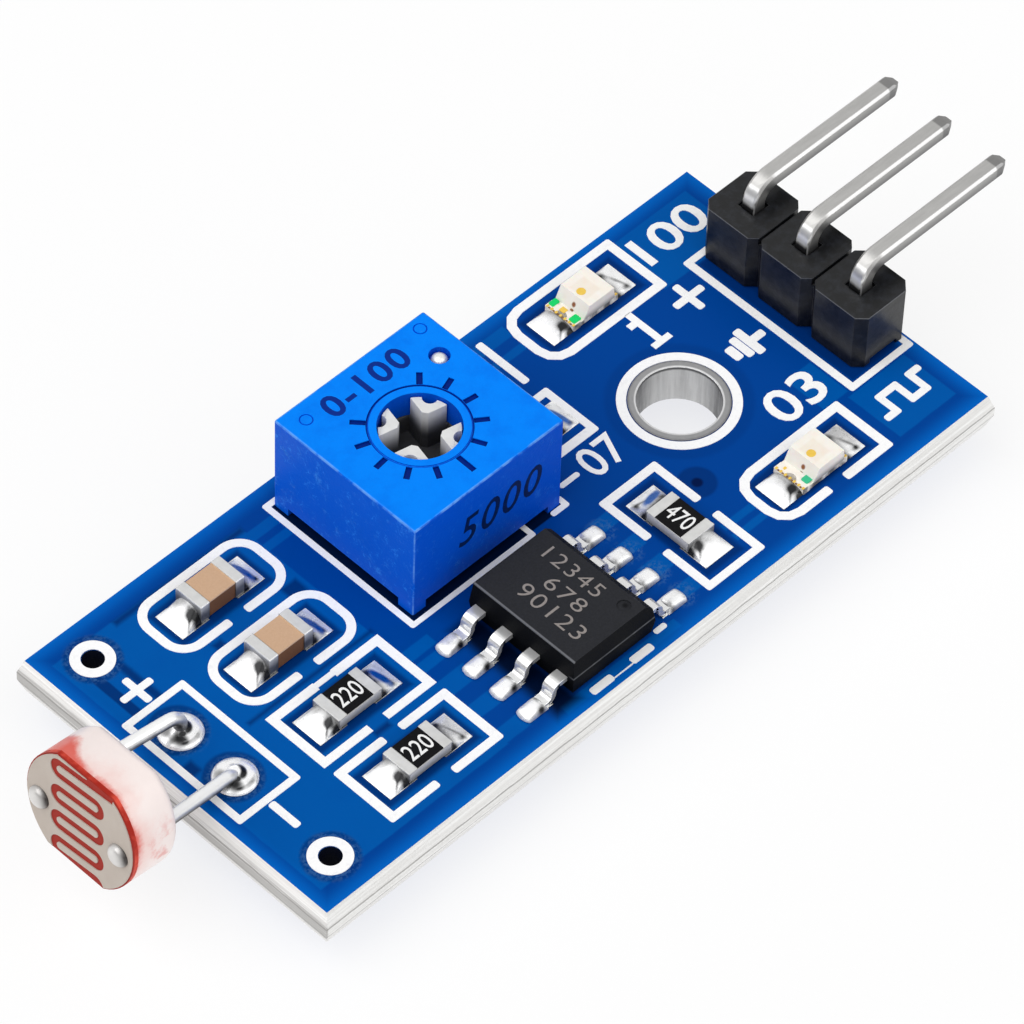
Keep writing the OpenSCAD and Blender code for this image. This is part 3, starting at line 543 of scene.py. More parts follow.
def boardPaint():
    paint = Paint("solderMask", {"Specular IOR Level": 0.03})
    x, y, z = paint.axes()
    wobble = (paint.noise(1.6, 2.0) - 0.5) * 0.05
    wx, wy = x + wobble, y + wobble
    copper = joined([boxField(wx, wy, box) for box in boardLook["areas"]])
    gaps = [boxField(wx, wy, boardLook["sharpGap"])]
    gaps += [boxField(wx, wy, box, 0.12) for box in boardLook["gaps"]]
    gaps += [discField(wx, wy, disc, 0.08) * 0.8 for disc in boardLook["discs"]]
    gaps.append(discField(wx, wy, boardLook["holeDisc"], 0.12) * 0.3)
    halo = joined([discField(x, y, disc, 0.16) for disc in boardLook["halos"]])
    face = boardLook["face"]
    inX = (x - (face[0] + face[1]) / 2).size() * -1 + (face[1] - face[0]) / 2
    inY = (y - (face[2] + face[3]) / 2).size() * -1 + (face[3] - face[2]) / 2
    copper = copper * (0.72 + paint.noise(0.8, 4.0) * 0.5)
    blue = paint.mix(copper, boardLook["bare"], boardLook["copper"])
    layers = [(joined(gaps) * 0.85, "gap"), ((1 - inX.least(inY).rise(-0.1, 0.75)) * 0.85, "rim"),
              (halo * paint.noise(9.0, 4.0).rise(0.42, 0.62) * 0.55, "halo"),
              (discField(x, y, boardLook["viaDisc"], 0.06), "via"),
              (boxField(x, y, boardLook["under"], 0.03) * 0.9, "shade"),
              (boxField(x, y, boardLook["packageShade"], 0.3) * 0.92, "shade")]
    for factor, key in layers:
        blue = paint.mix(factor, blue, boardLook[key])
    # Bare laminate at the sides, with fibres and two lines from scoring; the end at -X is painted darker,
    # with a darker band at mid height, as painted shade
    fibre = paint.noise(1.6, 5.0, (0.1, 0.1, 6.0), 0.7)
    streak = fibre.rise(0.42, 0.7)
    ragged = z + (paint.noise(1.2, 4.0) - 0.5) * 0.1
    upper, lower = boardLook["scores"]
    lines = 1 - (ragged - upper).size().rise(0.015, 0.05)
    lines = lines.most((1 - (ragged - lower).size().rise(0.01, 0.04)) * 0.7)
    long = paint.mix(streak, boardLook["edgeDark"], boardLook["edge"])
    band = 1 - (ragged - 0.75).size().rise(0.1, 0.45)
    streak = (streak - band * 0.55).most(0.0)
    short = paint.mix(streak, boardLook["endDark"], boardLook["endEdge"])
    laminate = paint.mix(1 - x.rise(*boardLook["end"]), long, short)
    laminate = paint.mix(lines * 0.75, laminate, boardLook["score"])
    # The walls of the tool holes are painted near black: painted shade inside the holes
    for disc in boardLook["toolHoles"]:
        laminate = paint.mix(discField(x, y, disc, 0.02), laminate, boardLook["holeWall"])
    masked = (z - boardTop / 2).size().rise(boardTop / 2 - 0.002, boardTop / 2 - 0.001)
    paint.colour(masked, laminate, blue)
    paint.set("Roughness", 0.62 - masked * 0.3)
    paint.bump(paint.noise(14.0, 3.0) * 0.06 + fibre * (1 - masked) * 0.6, 0.03)
    return paint


dress("circuit_board", boardPaint())
for name in ("plated_holes", "surface_pads"):
    dress(name, padPaint)

sleeveLook = {"lit": (0.728, 0.686), "bore": 1.5, "wall": ((66, 66, 68), (214, 214, 213)),
              "under": (24, 24, 26), "land": ((216, 216, 216), (138, 138, 139), (104, 104, 106)),
              "steps": ((1.54, 1.59), (1.7, 1.78)), "bright": (190, 190, 190)}
# The bore wall is painted lighter on the side toward lit and dark just under the rim: painted light and
# painted shade. The land is painted lighter at its inner edge, a painted highlight, and darker towards its
# outer edge
sleevePaint = Paint("holeSleeve", {"Metallic": 0.55})
x, y, z = sleevePaint.axes()
facing = (x * sleeveLook["lit"][0] + y * sleeveLook["lit"][1]) / sleeveLook["bore"]
streaks = sleevePaint.noise(1.5, 4.0, (4.0, 4.0, 0.3), 0.6)
bright = facing.rise(0.35, 1.0) * 0.75 + streaks * 0.7 - 0.2
wall = sleevePaint.mix(bright, *sleeveLook["wall"])
wall = sleevePaint.mix(z.rise(boardTop - 0.14, boardTop - 0.03) * 0.85, wall, sleeveLook["under"])
away = (x * x + y * y) ** 0.5
flat = z.rise(boardTop + 0.01, boardTop + 0.03)
land = sleeveLook["land"][0]
for step, shade in zip(sleeveLook["steps"], sleeveLook["land"][1:]):
    land = sleevePaint.mix(away.rise(*step), land, shade)
land = sleevePaint.mix(streaks * 0.3, land, sleeveLook["bright"])
sleevePaint.colour(flat, wall, land)
sleevePaint.set("Roughness", sleevePaint.noise(1.2, 4.0, (1.0, 1.0, 6.0)) * 0.25 + 0.26)
sleevePaint.bump(sleevePaint.noise(2.5, 4.0, (1.5, 1.5, 8.0)), 0.012)
dress("mounting_hole_plating", sleevePaint)
soften("mounting_hole_plating", 0.025)
print("board dressed")

# White print
printLook = {
    "thick": 0.025, "sink": 0.004, "pair": ((246, 246, 248), (255, 255, 255)),
    "bars": {
        "sensorPlus": [(-22.67, -21.3, 3.56, 3.84), (-22.11, -21.83, 3.06, 4.34)],
        "sensorMinus": [(-22.18, -21.88, -4.06, -2.74)],
        "sensorBox": [(-23.38, -23.1, -2.69, 2.99), (-20.86, -20.58, -2.69, 2.99),
                      (-23.38, -20.58, 2.71, 2.99), (-23.38, -20.58, -2.69, -2.41)],
        "resistorOne": [(-19.78, -19.43, -2.94, -0.12), (-14.95, -14.6, -2.94, -0.12),
                        (-19.78, -17.6, -0.47, -0.12), (-17.6, -16.8, -0.38, -0.16),
                        (-16.8, -14.6, -0.47, -0.12), (-19.78, -17.53, -2.94, -2.62),
                        (-16.81, -14.6, -2.94, -2.62)],
        "resistorTwo": [(-19.74, -19.39, -6.1, -3.28), (-14.93, -14.58, -6.1, -3.28),
                        (-19.74, -17.51, -3.61, -3.28), (-16.8, -14.58, -3.61, -3.28),
                        (-19.74, -17.51, -6.1, -5.78), (-16.8, -14.58, -6.1, -5.78)],
        "trimmerBox": [(-13.58, -13.34, -0.78, 6.53), (-13.58, -12.9, 6.29, 6.53),
                       (-13.58, -7.72, -0.78, -0.58), (-7.94, -7.72, -0.78, -0.1)],
        "trimmerCorner": [(-6.76, -5.96, -0.64, -0.42), (-6.18, -5.96, -0.64, -0.1)],
        "nearMark": [(-5.69, -4.78, 0.03, 0.24)],
        "trimmerEnd": [(-3.33, -3.02, 4.2, 6.61)],
        "resistorFour": [(-6.2, -2.86, 3.3, 3.61), (-3.17, -2.86, 1.02, 3.61), (-6.2, -2.86, 1.02, 1.37)],
        "packageLeft": [(-11.22, -10.22, -6.97, -6.66)],
        "packageRight": [(-9.33, -8.33, -6.97, -6.66)],
        "packageMid": [(-10.22, -9.33, -6.93, -6.88)],
        "packageDot": [(-7.9, -7.35, -6.6, -6.38)],
        "resistorThree": [(-5.28, -2.54, -1.6, -1.27), (-5.28, -2.54, -6.52, -6.22),
                          (-5.28, -4.95, -3.53, -1.27), (-5.28, -4.95, -6.52, -4.28),
                          (-2.87, -2.54, -3.53, -1.27), (-2.87, -2.54, -6.52, -4.28)],
        "headerBox": [(4.58, 4.89, -3.83, 4.3), (7.42, 7.7, -3.83, 4.3), (4.58, 7.7, 4.03, 4.3),
                      (4.58, 7.7, -3.83, -3.56)],
        "pinPlus": [(2.93, 4.33, 2.92, 3.22), (3.48, 3.78, 2.37, 3.77)],
        "pinGround": [(2.72, 3.08, -0.15, 0.52), (3.14, 3.46, -0.32, 0.72), (3.5, 3.84, -0.48, 0.89),
                      (3.84, 4.37, 0.02, 0.34)],
        "digitOne": [(1.38, 1.66, 2.19, 3.99), (1.09, 1.94, 2.19, 2.45), (1.1, 1.38, 3.36, 3.64)],
        "pulseSign": [(4.5, 5.2, -5.62, -5.34), (4.92, 5.2, -5.62, -4.5), (4.92, 6.0, -4.78, -4.5),
                      (5.72, 6.0, -5.62, -4.5), (5.72, 6.7, -5.62, -5.34), (6.42, 6.7, -5.62, -4.5),
                      (6.42, 7.1, -4.78, -4.5)],
    },
    "bands": [
        {"box": (-20.09, -14.76, 3.5, 6.3), "stroke": 0.33, "corner": 1.0, "steps": 10, "round": "all",
         "gaps": [(-17.74, -17.03, 3.3, 3.9)]},
        {"box": (-19.93, -14.6, 0.28, 3.06), "stroke": 0.33, "corner": 1.0, "steps": 10, "round": "all",
         "gaps": [(-17.62, -16.91, 0.1, 0.7)]},
        {"box": (-2.06, 3.52, 3.97, 6.91), "stroke": 0.35, "corner": 0.95, "steps": 3, "round": "near",
         "gaps": [(0.5, 1.1, 3.8, 4.1)]},
        {"box": (-1.52, 3.89, -6.44, -3.72), "stroke": 0.35, "corner": 0.95, "steps": 3, "round": "near",
         "gaps": [(0.89, 1.63, -6.6, -6.0)]},
    ],
    "rings": [((-22.13, 5.68), 0.41, 0.78), ((-22.13, -5.64), 0.41, 0.78), ((0, 0), 1.83, 2.18)],
    "numbers": [("100", (3.72, 6.83, 4.92, 6.3), 0.035), ("03", (1.83, 4.12, -3.36, -1.86), 0.035),
                ("07", (-4.5, -2.8, -0.5, 0.82), 0.02)],
}
printPaint = Paint("whitePrint", {"Roughness": 0.6, "Specular IOR Level": 0.1})
wearAndSheen = printPaint.noise(5.0, 4.0).rise(0.25, 0.5)
printPaint.colour(wearAndSheen, *printLook["pair"])
printPaint.bump(printPaint.noise(12.0, 3.0), 0.004)
form = bmesh.new()
low, thick = boardTop - printLook["sink"], printLook["thick"]
for bars in printLook["bars"].values():
    barShape(form, bars, low, thick)
for look in printLook["bands"]:
    bandShape(form, look, low, thick)
for centre, inner, outer in printLook["rings"]:
    ringShape(form, centre, inner, outer, low, thick)
for text, box, bold in printLook["numbers"]:
    place = flatAt((box[0] + box[1]) / 2, (box[2] + box[3]) / 2, low + thick / 2)
    writing(form, text, box[1] - box[0], box[3] - box[2], bold, thick, place)
pieceOf("board_print", form, printPaint)
print("print made")

# Photoresistor: axis is its disc's, and face the middle of the front
sensorLook = {"axis": (0.99276, 0.0, -0.12014), "face": (-27.9, 0.06, 3.33), "body": (253, 240, 236),
              "pink": (240, 176, 166), "blush": (226, 84, 66), "film": ((148, 36, 26), (166, 48, 36)),
              "rim": (168, 40, 28), "plate": ((182, 170, 160), (198, 188, 178)), "backRound": 0.4,
              "thick": 2.09, "heads": [(1.851, -0.368), (-1.851, -0.012)], "headWide": 0.437,
              "headTall": 0.28, "headSteps": 12, "head": ((206, 203, 200), (240, 238, 236)),
              "headRim": (70, 66, 64)}



# Distance behind the disc's front
def sensorDepth(paint):
    x, y, z = paint.axes()
    axis, face = sensorLook["axis"], sensorLook["face"]
    return (x - face[0]) * axis[0] + (z - face[2]) * axis[2]


discPaint = Paint("sensorCeramic", {"Roughness": 0.34, "Specular IOR Level": 0.3, "Coat Weight": 0.2,
                                    "Coat Roughness": 0.15})
depth = sensorDepth(discPaint)
x, y, z = discPaint.axes()
blotch = discPaint.noise(0.75, 5.0, rough=0.62)
under = (y * -0.35 - z + 3.1).rise(-1.2, 3.4)
skin = discPaint.mix((1 - (depth + (blotch - 0.5) * 1.8).rise(0.2, 1.3)) * 0.42 + under * 0.1,
                     sensorLook["body"], sensorLook["pink"])
upper = (y + (z - 3.3) * 0.3).rise(0.7, 2.5) * 0.85
glow = (1 - (depth - upper + (blotch - 0.5) * 1.1).rise(0.08, 0.5)) * (0.75 + discPaint.noise(0.5, 3.0) * 0.5)
skin = discPaint.mix(glow.least(1.0), skin, sensorLook["blush"])
lowSide = 1 - (y + (z - 3.3) * 0.5).rise(-2.6, -1.4)
tail = discPaint.noise(0.9, 5.0, rough=0.65).rise(0.5, 0.66) * lowSide * depth.rise(0.5, 0.9)
skin = discPaint.mix(tail * 0.55, skin, sensorLook["blush"])
discPaint.set("Base Color", skin)
discPaint.bump(discPaint.noise(2.2, 4.0), 0.015)
form = copyOf("photoresistor_disc")
axis, facePoint = Vector(sensorLook["axis"]), Vector(sensorLook["face"])
faceUp = Vector((0, 1, 0)).cross(axis) * -1


def backRim(co):
    out = co - facePoint
    deep = out.dot(axis)
    return deep > sensorLook["thick"] - 0.02 and (out - axis * deep).length > 2.05


roundEdges(form, rimEdges(form, backRim), sensorLook["backRound"], 6)
pieceOf("photoresistor_ceramic", form, discPaint, stands=("photoresistor_disc",), sharp=50)

filmPaint = Paint("sensorFilm", {"Roughness": 0.5, "Specular IOR Level": 0.12})
front = 1 - sensorDepth(filmPaint).rise(0.05, 0.11)
cloud = filmPaint.noise(1.2, 4.0).rise(0.35, 0.6)
rind = filmPaint.mix(cloud, sensorLook["blush"], sensorLook["rim"])
filmPaint.colour(front, rind, filmPaint.mottle(*sensorLook["film"], 3.0, 4.0))
dress("photoresistor_film", filmPaint)
platePaint = mottledPaint("sensorPlate", {"Roughness": 0.55, "Specular IOR Level": 0.15},
                          sensorLook["plate"], 1.6, 4.0)
platePaint.bump(platePaint.noise(20.0, 2.0), 0.003)
dress("photoresistor_plates", platePaint)
for name in ("photoresistor_lead_1", "photoresistor_lead_2"):
    dress(name, wirePaint)

# Lead heads: domes, darker at the rim and on the side away from the light
headPaint = Paint("leadHead", {"Metallic": 0.5, "Roughness": 0.3})
metal = headPaint.mottle(*sensorLook["head"], 2.0)
headPaint.colour(headPaint.own("rimShade"), metal, sensorLook["headRim"])
quarter = [math.pi / 2 * k / sensorLook["headSteps"] for k in range(sensorLook["headSteps"])]
dome = [(sensorLook["headWide"] * math.cos(a), sensorLook["headTall"] * math.sin(a)) for a in quarter]
dome.append((0, sensorLook["headTall"]))
form = bmesh.new()
rimShade = form.verts.layers.float.new("rimShade")
for out, rise in sensorLook["heads"]:
    fresh = spunShape(form, dome, 36)
    for v in fresh:
        edgeward = Vector((v.co.x, v.co.y)).length / sensorLook["headWide"]
        turned = max(0.0, (-v.co.x * 0.85 + v.co.y * 0.4) / sensorLook["headWide"])
        v[rimShade] = min(1.0, max(0.0, (edgeward - 0.55) / 0.45) ** 1.5 * 0.45 + turned ** 2 * 0.9)
    spot = facePoint + Vector((0, out, 0)) + faceUp * rise
    basis = Matrix((Vector((0, 1, 0)), faceUp, axis * -1)).transposed().to_4x4()
    bmesh.ops.transform(form, matrix=Matrix.Translation(spot) @ basis, verts=fresh)
    bmesh.ops.remove_doubles(form, verts=fresh, dist=1e-4)
pieceOf("sensor_lead_heads", form, headPaint, sharp=60)

# Solder round each sensor lead: the dark wedges beside the wire are painted shadow and painted dark
# reflections, given by a distance, a direction, the reach of each and a strength, and the meniscus is a line
# of distances and heights
leadSolder = {
    "first": (-22.15, 1.42), "step": 2.6,
    "shadeWedges": [(0.45, -2.35, 0.26, 0.5, 1.0), (0.29, -0.8, 0.1, 1.2, 1.1), (0.5, 2.6, 0.17, 0.5, 0.7),
              (0.64, -1.5, 0.07, 0.6, 0.5)],
    "meniscus": [(0.8, 0.0), (0.78, 0.05), (0.74, 0.09), (0.68, 0.13), (0.6, 0.17), (0.5, 0.2), (0.42, 0.22),
                 (0.34, 0.25), (0.28, 0.3), (0.22, 0.33), (0.2, 0.1), (0.2, -0.02)],
}
leadPool = Paint("leadSolder", {"Metallic": 0.5})
x, y, z = leadPool.axes()
outX = x - leadSolder["first"][0]
shifted = y - leadSolder["first"][1] + leadSolder["step"] * 2.5
outY = shifted.maths("MODULO", leadSolder["step"]) - leadSolder["step"] / 2
far = (outX * outX + outY * outY) ** 0.5
way = outY.maths("ARCTAN2", outX)
dim = leadPool.noise(2.6, 4.0).rise(0.55, 0.75) * 0.2
for r, turn, deep, spread, strength in leadSolder["shadeWedges"]:
    apart = (way - turn + math.pi * 3).maths("MODULO", math.tau) - math.pi
    gap = ((far - r) / deep) ** 2.0 + (apart / spread) ** 2.0
    dim = dim + (1 - gap.rise(0.0, 2.2)) * strength
leadPool.colour(dim.least(1.0), solderLook["pool"], solderLook["dark"])
poolGloss(leadPool, 0.02)
form = bmesh.new()
for k in (0, 1):
    fresh = spunShape(form, leadSolder["meniscus"], 64)
    spot = (leadSolder["first"][0], leadSolder["first"][1] - leadSolder["step"] * k, padTop)
    bmesh.ops.translate(form, vec=spot, verts=fresh)
pieceOf("sensor_lead_solder", form, leadPool)
dress("photoresistor_solder", leadPool)
for name in ("trimmer_solder", "header_solder"):
    dress(name, solderPaint)
print("sensor dressed")

# Trimmer
trimLook = {"top": (0, 134, 255), "topDark": (0, 122, 244), "left": (0, 92, 218), "right": (0, 82, 210),
            "scuff": (60, 150, 246), "mark": (0, 36, 126), "grooveLight": (40, 158, 255),
            "wearAndSheen": (120, 178, 246), "topAt": 6.0, "edgeRound": 0.08, "dial": (-9.84, 2.77),
            "dialReach": 2.75, "ink": ((0, 14, 52), (0, 40, 132)), "inkLight": (0, 60, 160),
            "cross": ((212, 212, 211), (236, 236, 235)), "crossShade": ((34, 35, 38), (78, 78, 80)),
            "stud": ((214, 214, 212), (244, 244, 242)), "inner": (3.3, 3.15),
            "teethFrom": (1.76, 1.8), "ringIn": (1.46, 1.5), "ringOut": (1.72, 1.76),
            "topText": ("0-100", 3.72, 0.98, 0.03, 0.012), "topSpot": (-9.82, 5.4),
            "sideText": ("5000", 3.9, 1.36, 0.012, 0.012), "sideSpot": (-9.12, -0.38, 4.0),
            "slant": 0.22, "spacing": 1.12,
            "inside": {"trimmer_element": (236, 235, 228), "trimmer_track": (34, 34, 36),
                       "trimmer_seal": (86, 74, 58)}}
topAt = trimLook["topAt"]
bluePaint = Paint("trimmerBlue", {"Specular IOR Level": 0.06, "Roughness": 0.45})
low, high = [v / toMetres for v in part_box("trimmer_housing")]
x, y, z = bluePaint.axes()
isTop = z.rise(topAt - 0.03, topAt - 0.012)
sunk = 1 - z.rise(topAt - 0.06, topAt - 0.035)
isLeft = 1 - x.rise(low.x + 0.04, low.x + 0.06)
scuff = bluePaint.noise(2.4, 6.0, rough=0.72).rise(0.58, 0.74)
streak = bluePaint.noise(1.7, 6.0, (1.0, 1.0, 0.7), 0.78).rise(0.58, 0.66)
warped = bluePaint.noise(1.3, 4.0, rough=0.7)
scratch = (1 - (bluePaint.noise(2.2, 2.0) - 0.5).size().rise(0.004, 0.022)) * warped.rise(0.5, 0.62)
fleck = bluePaint.noise(11.0, 3.0).rise(0.66, 0.74).most(scratch)
# The sides are painted darker than the top, and the right side darker than the left: painted shade
side = bluePaint.mix(isLeft, trimLook["right"], trimLook["left"])
side = bluePaint.mix(scuff.most(streak).most(fleck) * (0.2 + isLeft * 0.34), side, trimLook["scuff"])
# The rounded top edges and the upright corner at low x and low y are painted lighter in noisy patches:
# painted highlight
topEdge = z.rise(topAt - 0.085, topAt - 0.06) * (1 - z.rise(topAt - 0.008, topAt - 0.002))
sideEdge = (1 - x.rise(low.x + 0.02, low.x + 0.07)) * (1 - y.rise(low.y + 0.02, low.y + 0.07))
wearAndSheen = topEdge.most(sideEdge) * bluePaint.noise(1.6, 4.0).rise(0.36, 0.6)
dialX, dialY = trimLook["dial"]
away = ((x - dialX) ** 2.0 + (y - dialY) ** 2.0) ** 0.5
nearDial = discField(x, y, (dialX, dialY, trimLook["dialReach"]), 0.02)
nearTop = z.rise(topAt - 0.12, topAt - 0.1)
cloud = bluePaint.noise(0.9, 6.0, rough=0.7).rise(0.4, 0.75)
face = bluePaint.mix(cloud, trimLook["top"], trimLook["topDark"])
cover = bluePaint.mix(isTop, side, face)
teeth = away.rise(*trimLook["teethFrom"])
ringLine = (1 - away.rise(*trimLook["ringOut"])) * away.rise(*trimLook["ringIn"])
# The sunk dial marks are painted dark blue: painted shade in the recesses
cover = bluePaint.mix(sunk * nearDial * nearTop * teeth, cover, trimLook["mark"])
# The sunk ring is painted lighter than the top, most towards low y: painted light laid over its shade
ringLine = ringLine * (0.35 + (1 - y.rise(2.0, 4.2)) * 0.6)
cover = bluePaint.mix(sunk * nearTop * ringLine, cover, trimLook["grooveLight"])
outX = (x - (low.x + high.x) / 2).size() - trimLook["inner"][0]
outY = (y - (low.y + high.y) / 2).size() - trimLook["inner"][1]
outside = outX.most(outY).rise(-0.01, 0.01)
cover = bluePaint.mix(wearAndSheen * outside * 0.6, cover, trimLook["wearAndSheen"])
bluePaint.set("Base Color", cover)
bluePaint.bump(bluePaint.noise(9.0, 4.0) + scuff * (1 - isTop) * 1.5, 0.01)
form = copyOf("trimmer_housing")


# How a point stands to the cover's outer faces: on one across X, and on one across Y
def onOutside(co):
    return min(co.x - low.x, high.x - co.x) < 0.01, min(co.y - low.y, high.y - co.y) < 0.01


def outerUpright(edge):
    a, b = (v.co for v in edge.verts)
    return abs(a.z - b.z) > 3 and all(onOutside(a))


def outerTop(edge):
    return all(v.co.z > high.z - 0.002 and any(onOutside(v.co)) for v in edge.verts)


chosen = [edge for edge in form.edges if len(edge.link_faces) == 2 and edge.calc_face_angle(0) > 1
          and (outerUpright(edge) or outerTop(edge))]
roundEdges(form, chosen, trimLook["edgeRound"], 3)
evenOut(pieceOf("trimmer_cover", form, bluePaint, stands=("trimmer_housing",)))

# The letters are painted dark blue, darker on the side than on the top: painted shade standing in for
# engraved characters
letterPaint = Paint("trimmerMarks", {"Roughness": 0.5, "Specular IOR Level": 0.1})
isTop = letterPaint.axes()[2].rise(topAt - 0.1, topAt - 0.05)
ink = letterPaint.mix(isTop, *trimLook["ink"])
ink = letterPaint.mix(letterPaint.noise(6.0, 3.0) * 0.25, ink, trimLook["inkLight"])
letterPaint.set("Base Color", ink)
form = bmesh.new()
writing(form, *trimLook["topText"], flatAt(*trimLook["topSpot"], topAt), 0.0, trimLook["spacing"])
upright = Matrix.Translation(trimLook["sideSpot"]) @ Matrix.Rotation(math.radians(90), 4, "X")
writing(form, *trimLook["sideText"], upright, trimLook["slant"], trimLook["spacing"])
pieceOf("trimmer_numbers", form, letterPaint)

whitePaint = Paint("adjusterWhite", {"Roughness": 0.5, "Specular IOR Level": 0.15})
x, y, z = whitePaint.axes()
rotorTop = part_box("trimmer_rotor")[1].z / toMetres
# The adjuster is painted darker down into its slots: painted shade in the recesses
sunk = (1 - z.rise(rotorTop - 1.25, rotorTop - 0.08)) ** 0.8
face = whitePaint.mottle(*trimLook["cross"], 2.5, 5.0)
whitePaint.colour(sunk, face, whitePaint.mottle(*trimLook["crossShade"], 1.4, 4.0))
whitePaint.bump(whitePaint.noise(12.0, 3.0), 0.006)
dress("trimmer_rotor", whitePaint)
soften("trimmer_rotor", 0.03)
dress("trimmer_wiper", brassPaint)
dress("trimmer_stud", mottledPaint("studTin", {"Metallic": 0.35, "Roughness": 0.35}, trimLook["stud"], 2.0))
dress("trimmer_terminals", wirePaint)
for name, shade in trimLook["inside"].items():
    dim = [v * 0.9 for v in shade]
    dress(name, mottledPaint(name + "Paint", {"Roughness": 0.6}, (dim, shade), 4.0))
print("trimmer dressed")

# Comparator
packageLook = {"top": ((36, 37, 40), (50, 51, 55)), "side": ((4, 5, 7), (13, 14, 17)),
               "line": (126, 128, 132), "dimple": (14, 14, 16), "dimpleAt": (-8.75, -5.88),
               "ink": ((126, 119, 115), (162, 155, 151)),
               "lines": [("12345", (-9.29, -8.7, -5.0, -2.46)), ("678", (-10.17, -9.58, -5.06, -3.36)),
                         ("90123", (-11.04, -10.4, -5.82, -2.95))]}
packagePaint = Paint("packageBlack", {"Roughness": 0.6, "Specular IOR Level": 0.05})
x, y, z = packagePaint.axes()
packageLow, packageHigh = [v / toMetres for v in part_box("comparator_body")]
packageTop = packageHigh.z
spots = [v.co / toMetres for v in cadNodes["comparator_body"].data.vertices]
topLeft = min(spot.x for spot in spots if spot.z > packageTop - 0.01)
speck = packagePaint.noise(14.0, 5.0)
dimple = packageLook["dimpleAt"]
# The top is painted lighter than the sides: painted shade on the sides
isTop = z.rise(packageTop - 0.03, packageTop - 0.012).most(discField(x, y, (*dimple, 0.5), 0.02))
skin = packagePaint.mix(isTop, packagePaint.mix(speck, *packageLook["side"]),
                        packagePaint.mix(speck, *packageLook["top"]))
# A painted highlight runs along the top -X edge, and a lighter line along the -Y side at mid height
edgeHighlight = (1 - (x - topLeft).size().rise(0.02, 0.07)) * z.rise(packageTop - 0.09, packageTop - 0.03)
parting = 1 - (z - (packageLow.z + packageTop) / 2).size().rise(0.015, 0.05)
parting = parting * (1 - y.rise(packageLow.y + 0.1, packageLow.y + 0.3))
lines = edgeHighlight * 0.75 + parting * packagePaint.noise(4.0, 4.0) * 0.8
skin = packagePaint.mix(lines, skin, packageLook["line"])
# The middle of the dimple is painted dark: painted shade
dent = discField(x, y, (*dimple, 0.1), 0.07) * isTop * 0.8
skin = packagePaint.mix(dent, skin, packageLook["dimple"])
packagePaint.set("Base Color", skin)
packagePaint.bump(packagePaint.noise(26.0, 3.0), 0.006)
dress("comparator_body", packagePaint)
soften("comparator_body", 0.018)
for k in range(1, 9):
    dress("comparator_lead_%d" % k, leadPaint)
    soften("comparator_lead_%d" % k, 0.02)

inkPaint = mottledPaint("packageInk", {"Roughness": 0.65, "Specular IOR Level": 0.1},
                        packageLook["ink"], 16.0, 4.0)
form = bmesh.new()
for text, box in packageLook["lines"]:
    place = flatAt((box[0] + box[1]) / 2, (box[2] + box[3]) / 2, packageTop, -90)
    writing(form, text, box[3] - box[2], box[1] - box[0], -0.006, 0.006, place, spacing=1.12)
pieceOf("package_numbers", form, inkPaint)


# Solder over the toes, by the run from the package outwards and across the lead, with painted shade and
# painted reflections from toeShade
toeLook = {"run": (2.86, 3.84), "wide": 0.68, "tall": 0.3, "narrowFrom": 0.84}


def toeHeight(along, across):
    edge = 1 - abs(across) ** 3.2
    ends = (1 - abs(2 * along - 1) ** 4) ** 0.7
    return max(0.0, toeLook["tall"] * edge ** 0.6 * ends * (1.06 - 0.35 * along))


def toeNarrow(along):
    start = toeLook["narrowFrom"]
    return math.sqrt(max(0.02, 1 - ((along - start) / (1 - start)) ** 2)) if along > start else 1.0


def toeShade(toward, near):
    def shade(along, across):
        side = across * toward
        if near:
            level = 1.0 - 1.1 * spotAt(along, side, (0.3, 0.82), (0.18, 0.3))
            level -= 0.5 * spotAt(along, side, (0.12, -0.3), (0.12, 0.6))
            level -= 0.4 * spotAt(along, side, (0.7, 0.9), (0.3, 0.16))
        else:
            level = 0.98 - 0.85 * spotAt(along - 0.12 * side, side, (0.08, 0.3), (0.13, 0.9))
            level -= 0.5 * spotAt(along, side, (0.45, 1.0), (0.4, 0.16))
        level -= 0.25 * spotAt(along, side, (0.96, -0.2), (0.08, 0.7))
        return level
    return shade


form = bmesh.new()
chip = middle("comparator_body")
for k in range(1, 9):
    lead = middle("comparator_lead_%d" % k)
    side = 1 if lead.x > chip.x else -1
    out = flatAt(chip.x, lead.y, padTop, 0 if side > 0 else 180)
    poolShape(form, out, toeLook["run"], toeLook["wide"], toeHeight, toeShade(-side, side < 0), toeNarrow,
              cells=(26, 18))
pieceOf("toe_solder", form, poolPaint, stands=("comparator_solder",))
print("comparator dressed")

# Header
headerLook = {"black": ((13, 14, 16), (30, 32, 37)), "edgeHighlight": (98, 100, 104)}
headerPaint = Paint("headerBlack", {"Roughness": 0.3, "Specular IOR Level": 0.28})
rough = headerPaint.noise(2.6, 6.0, rough=0.65)
moulded = headerPaint.mix(rough.rise(0.4, 0.7), *headerLook["black"])
z = headerPaint.axes()[2]
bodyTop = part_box("header_body")[1].z / toMetres
# A painted highlight runs along the top edges
edgeHighlight = z.rise(bodyTop - 0.055, bodyTop - 0.03) * (1 - z.rise(bodyTop - 0.012, bodyTop - 0.004))
headerPaint.colour(edgeHighlight * 0.8, moulded, headerLook["edgeHighlight"])
headerPaint.bump(rough + headerPaint.noise(22.0, 3.0) * 0.15, 0.01)
dress("header_body", headerPaint)
soften("header_body", 0.03)

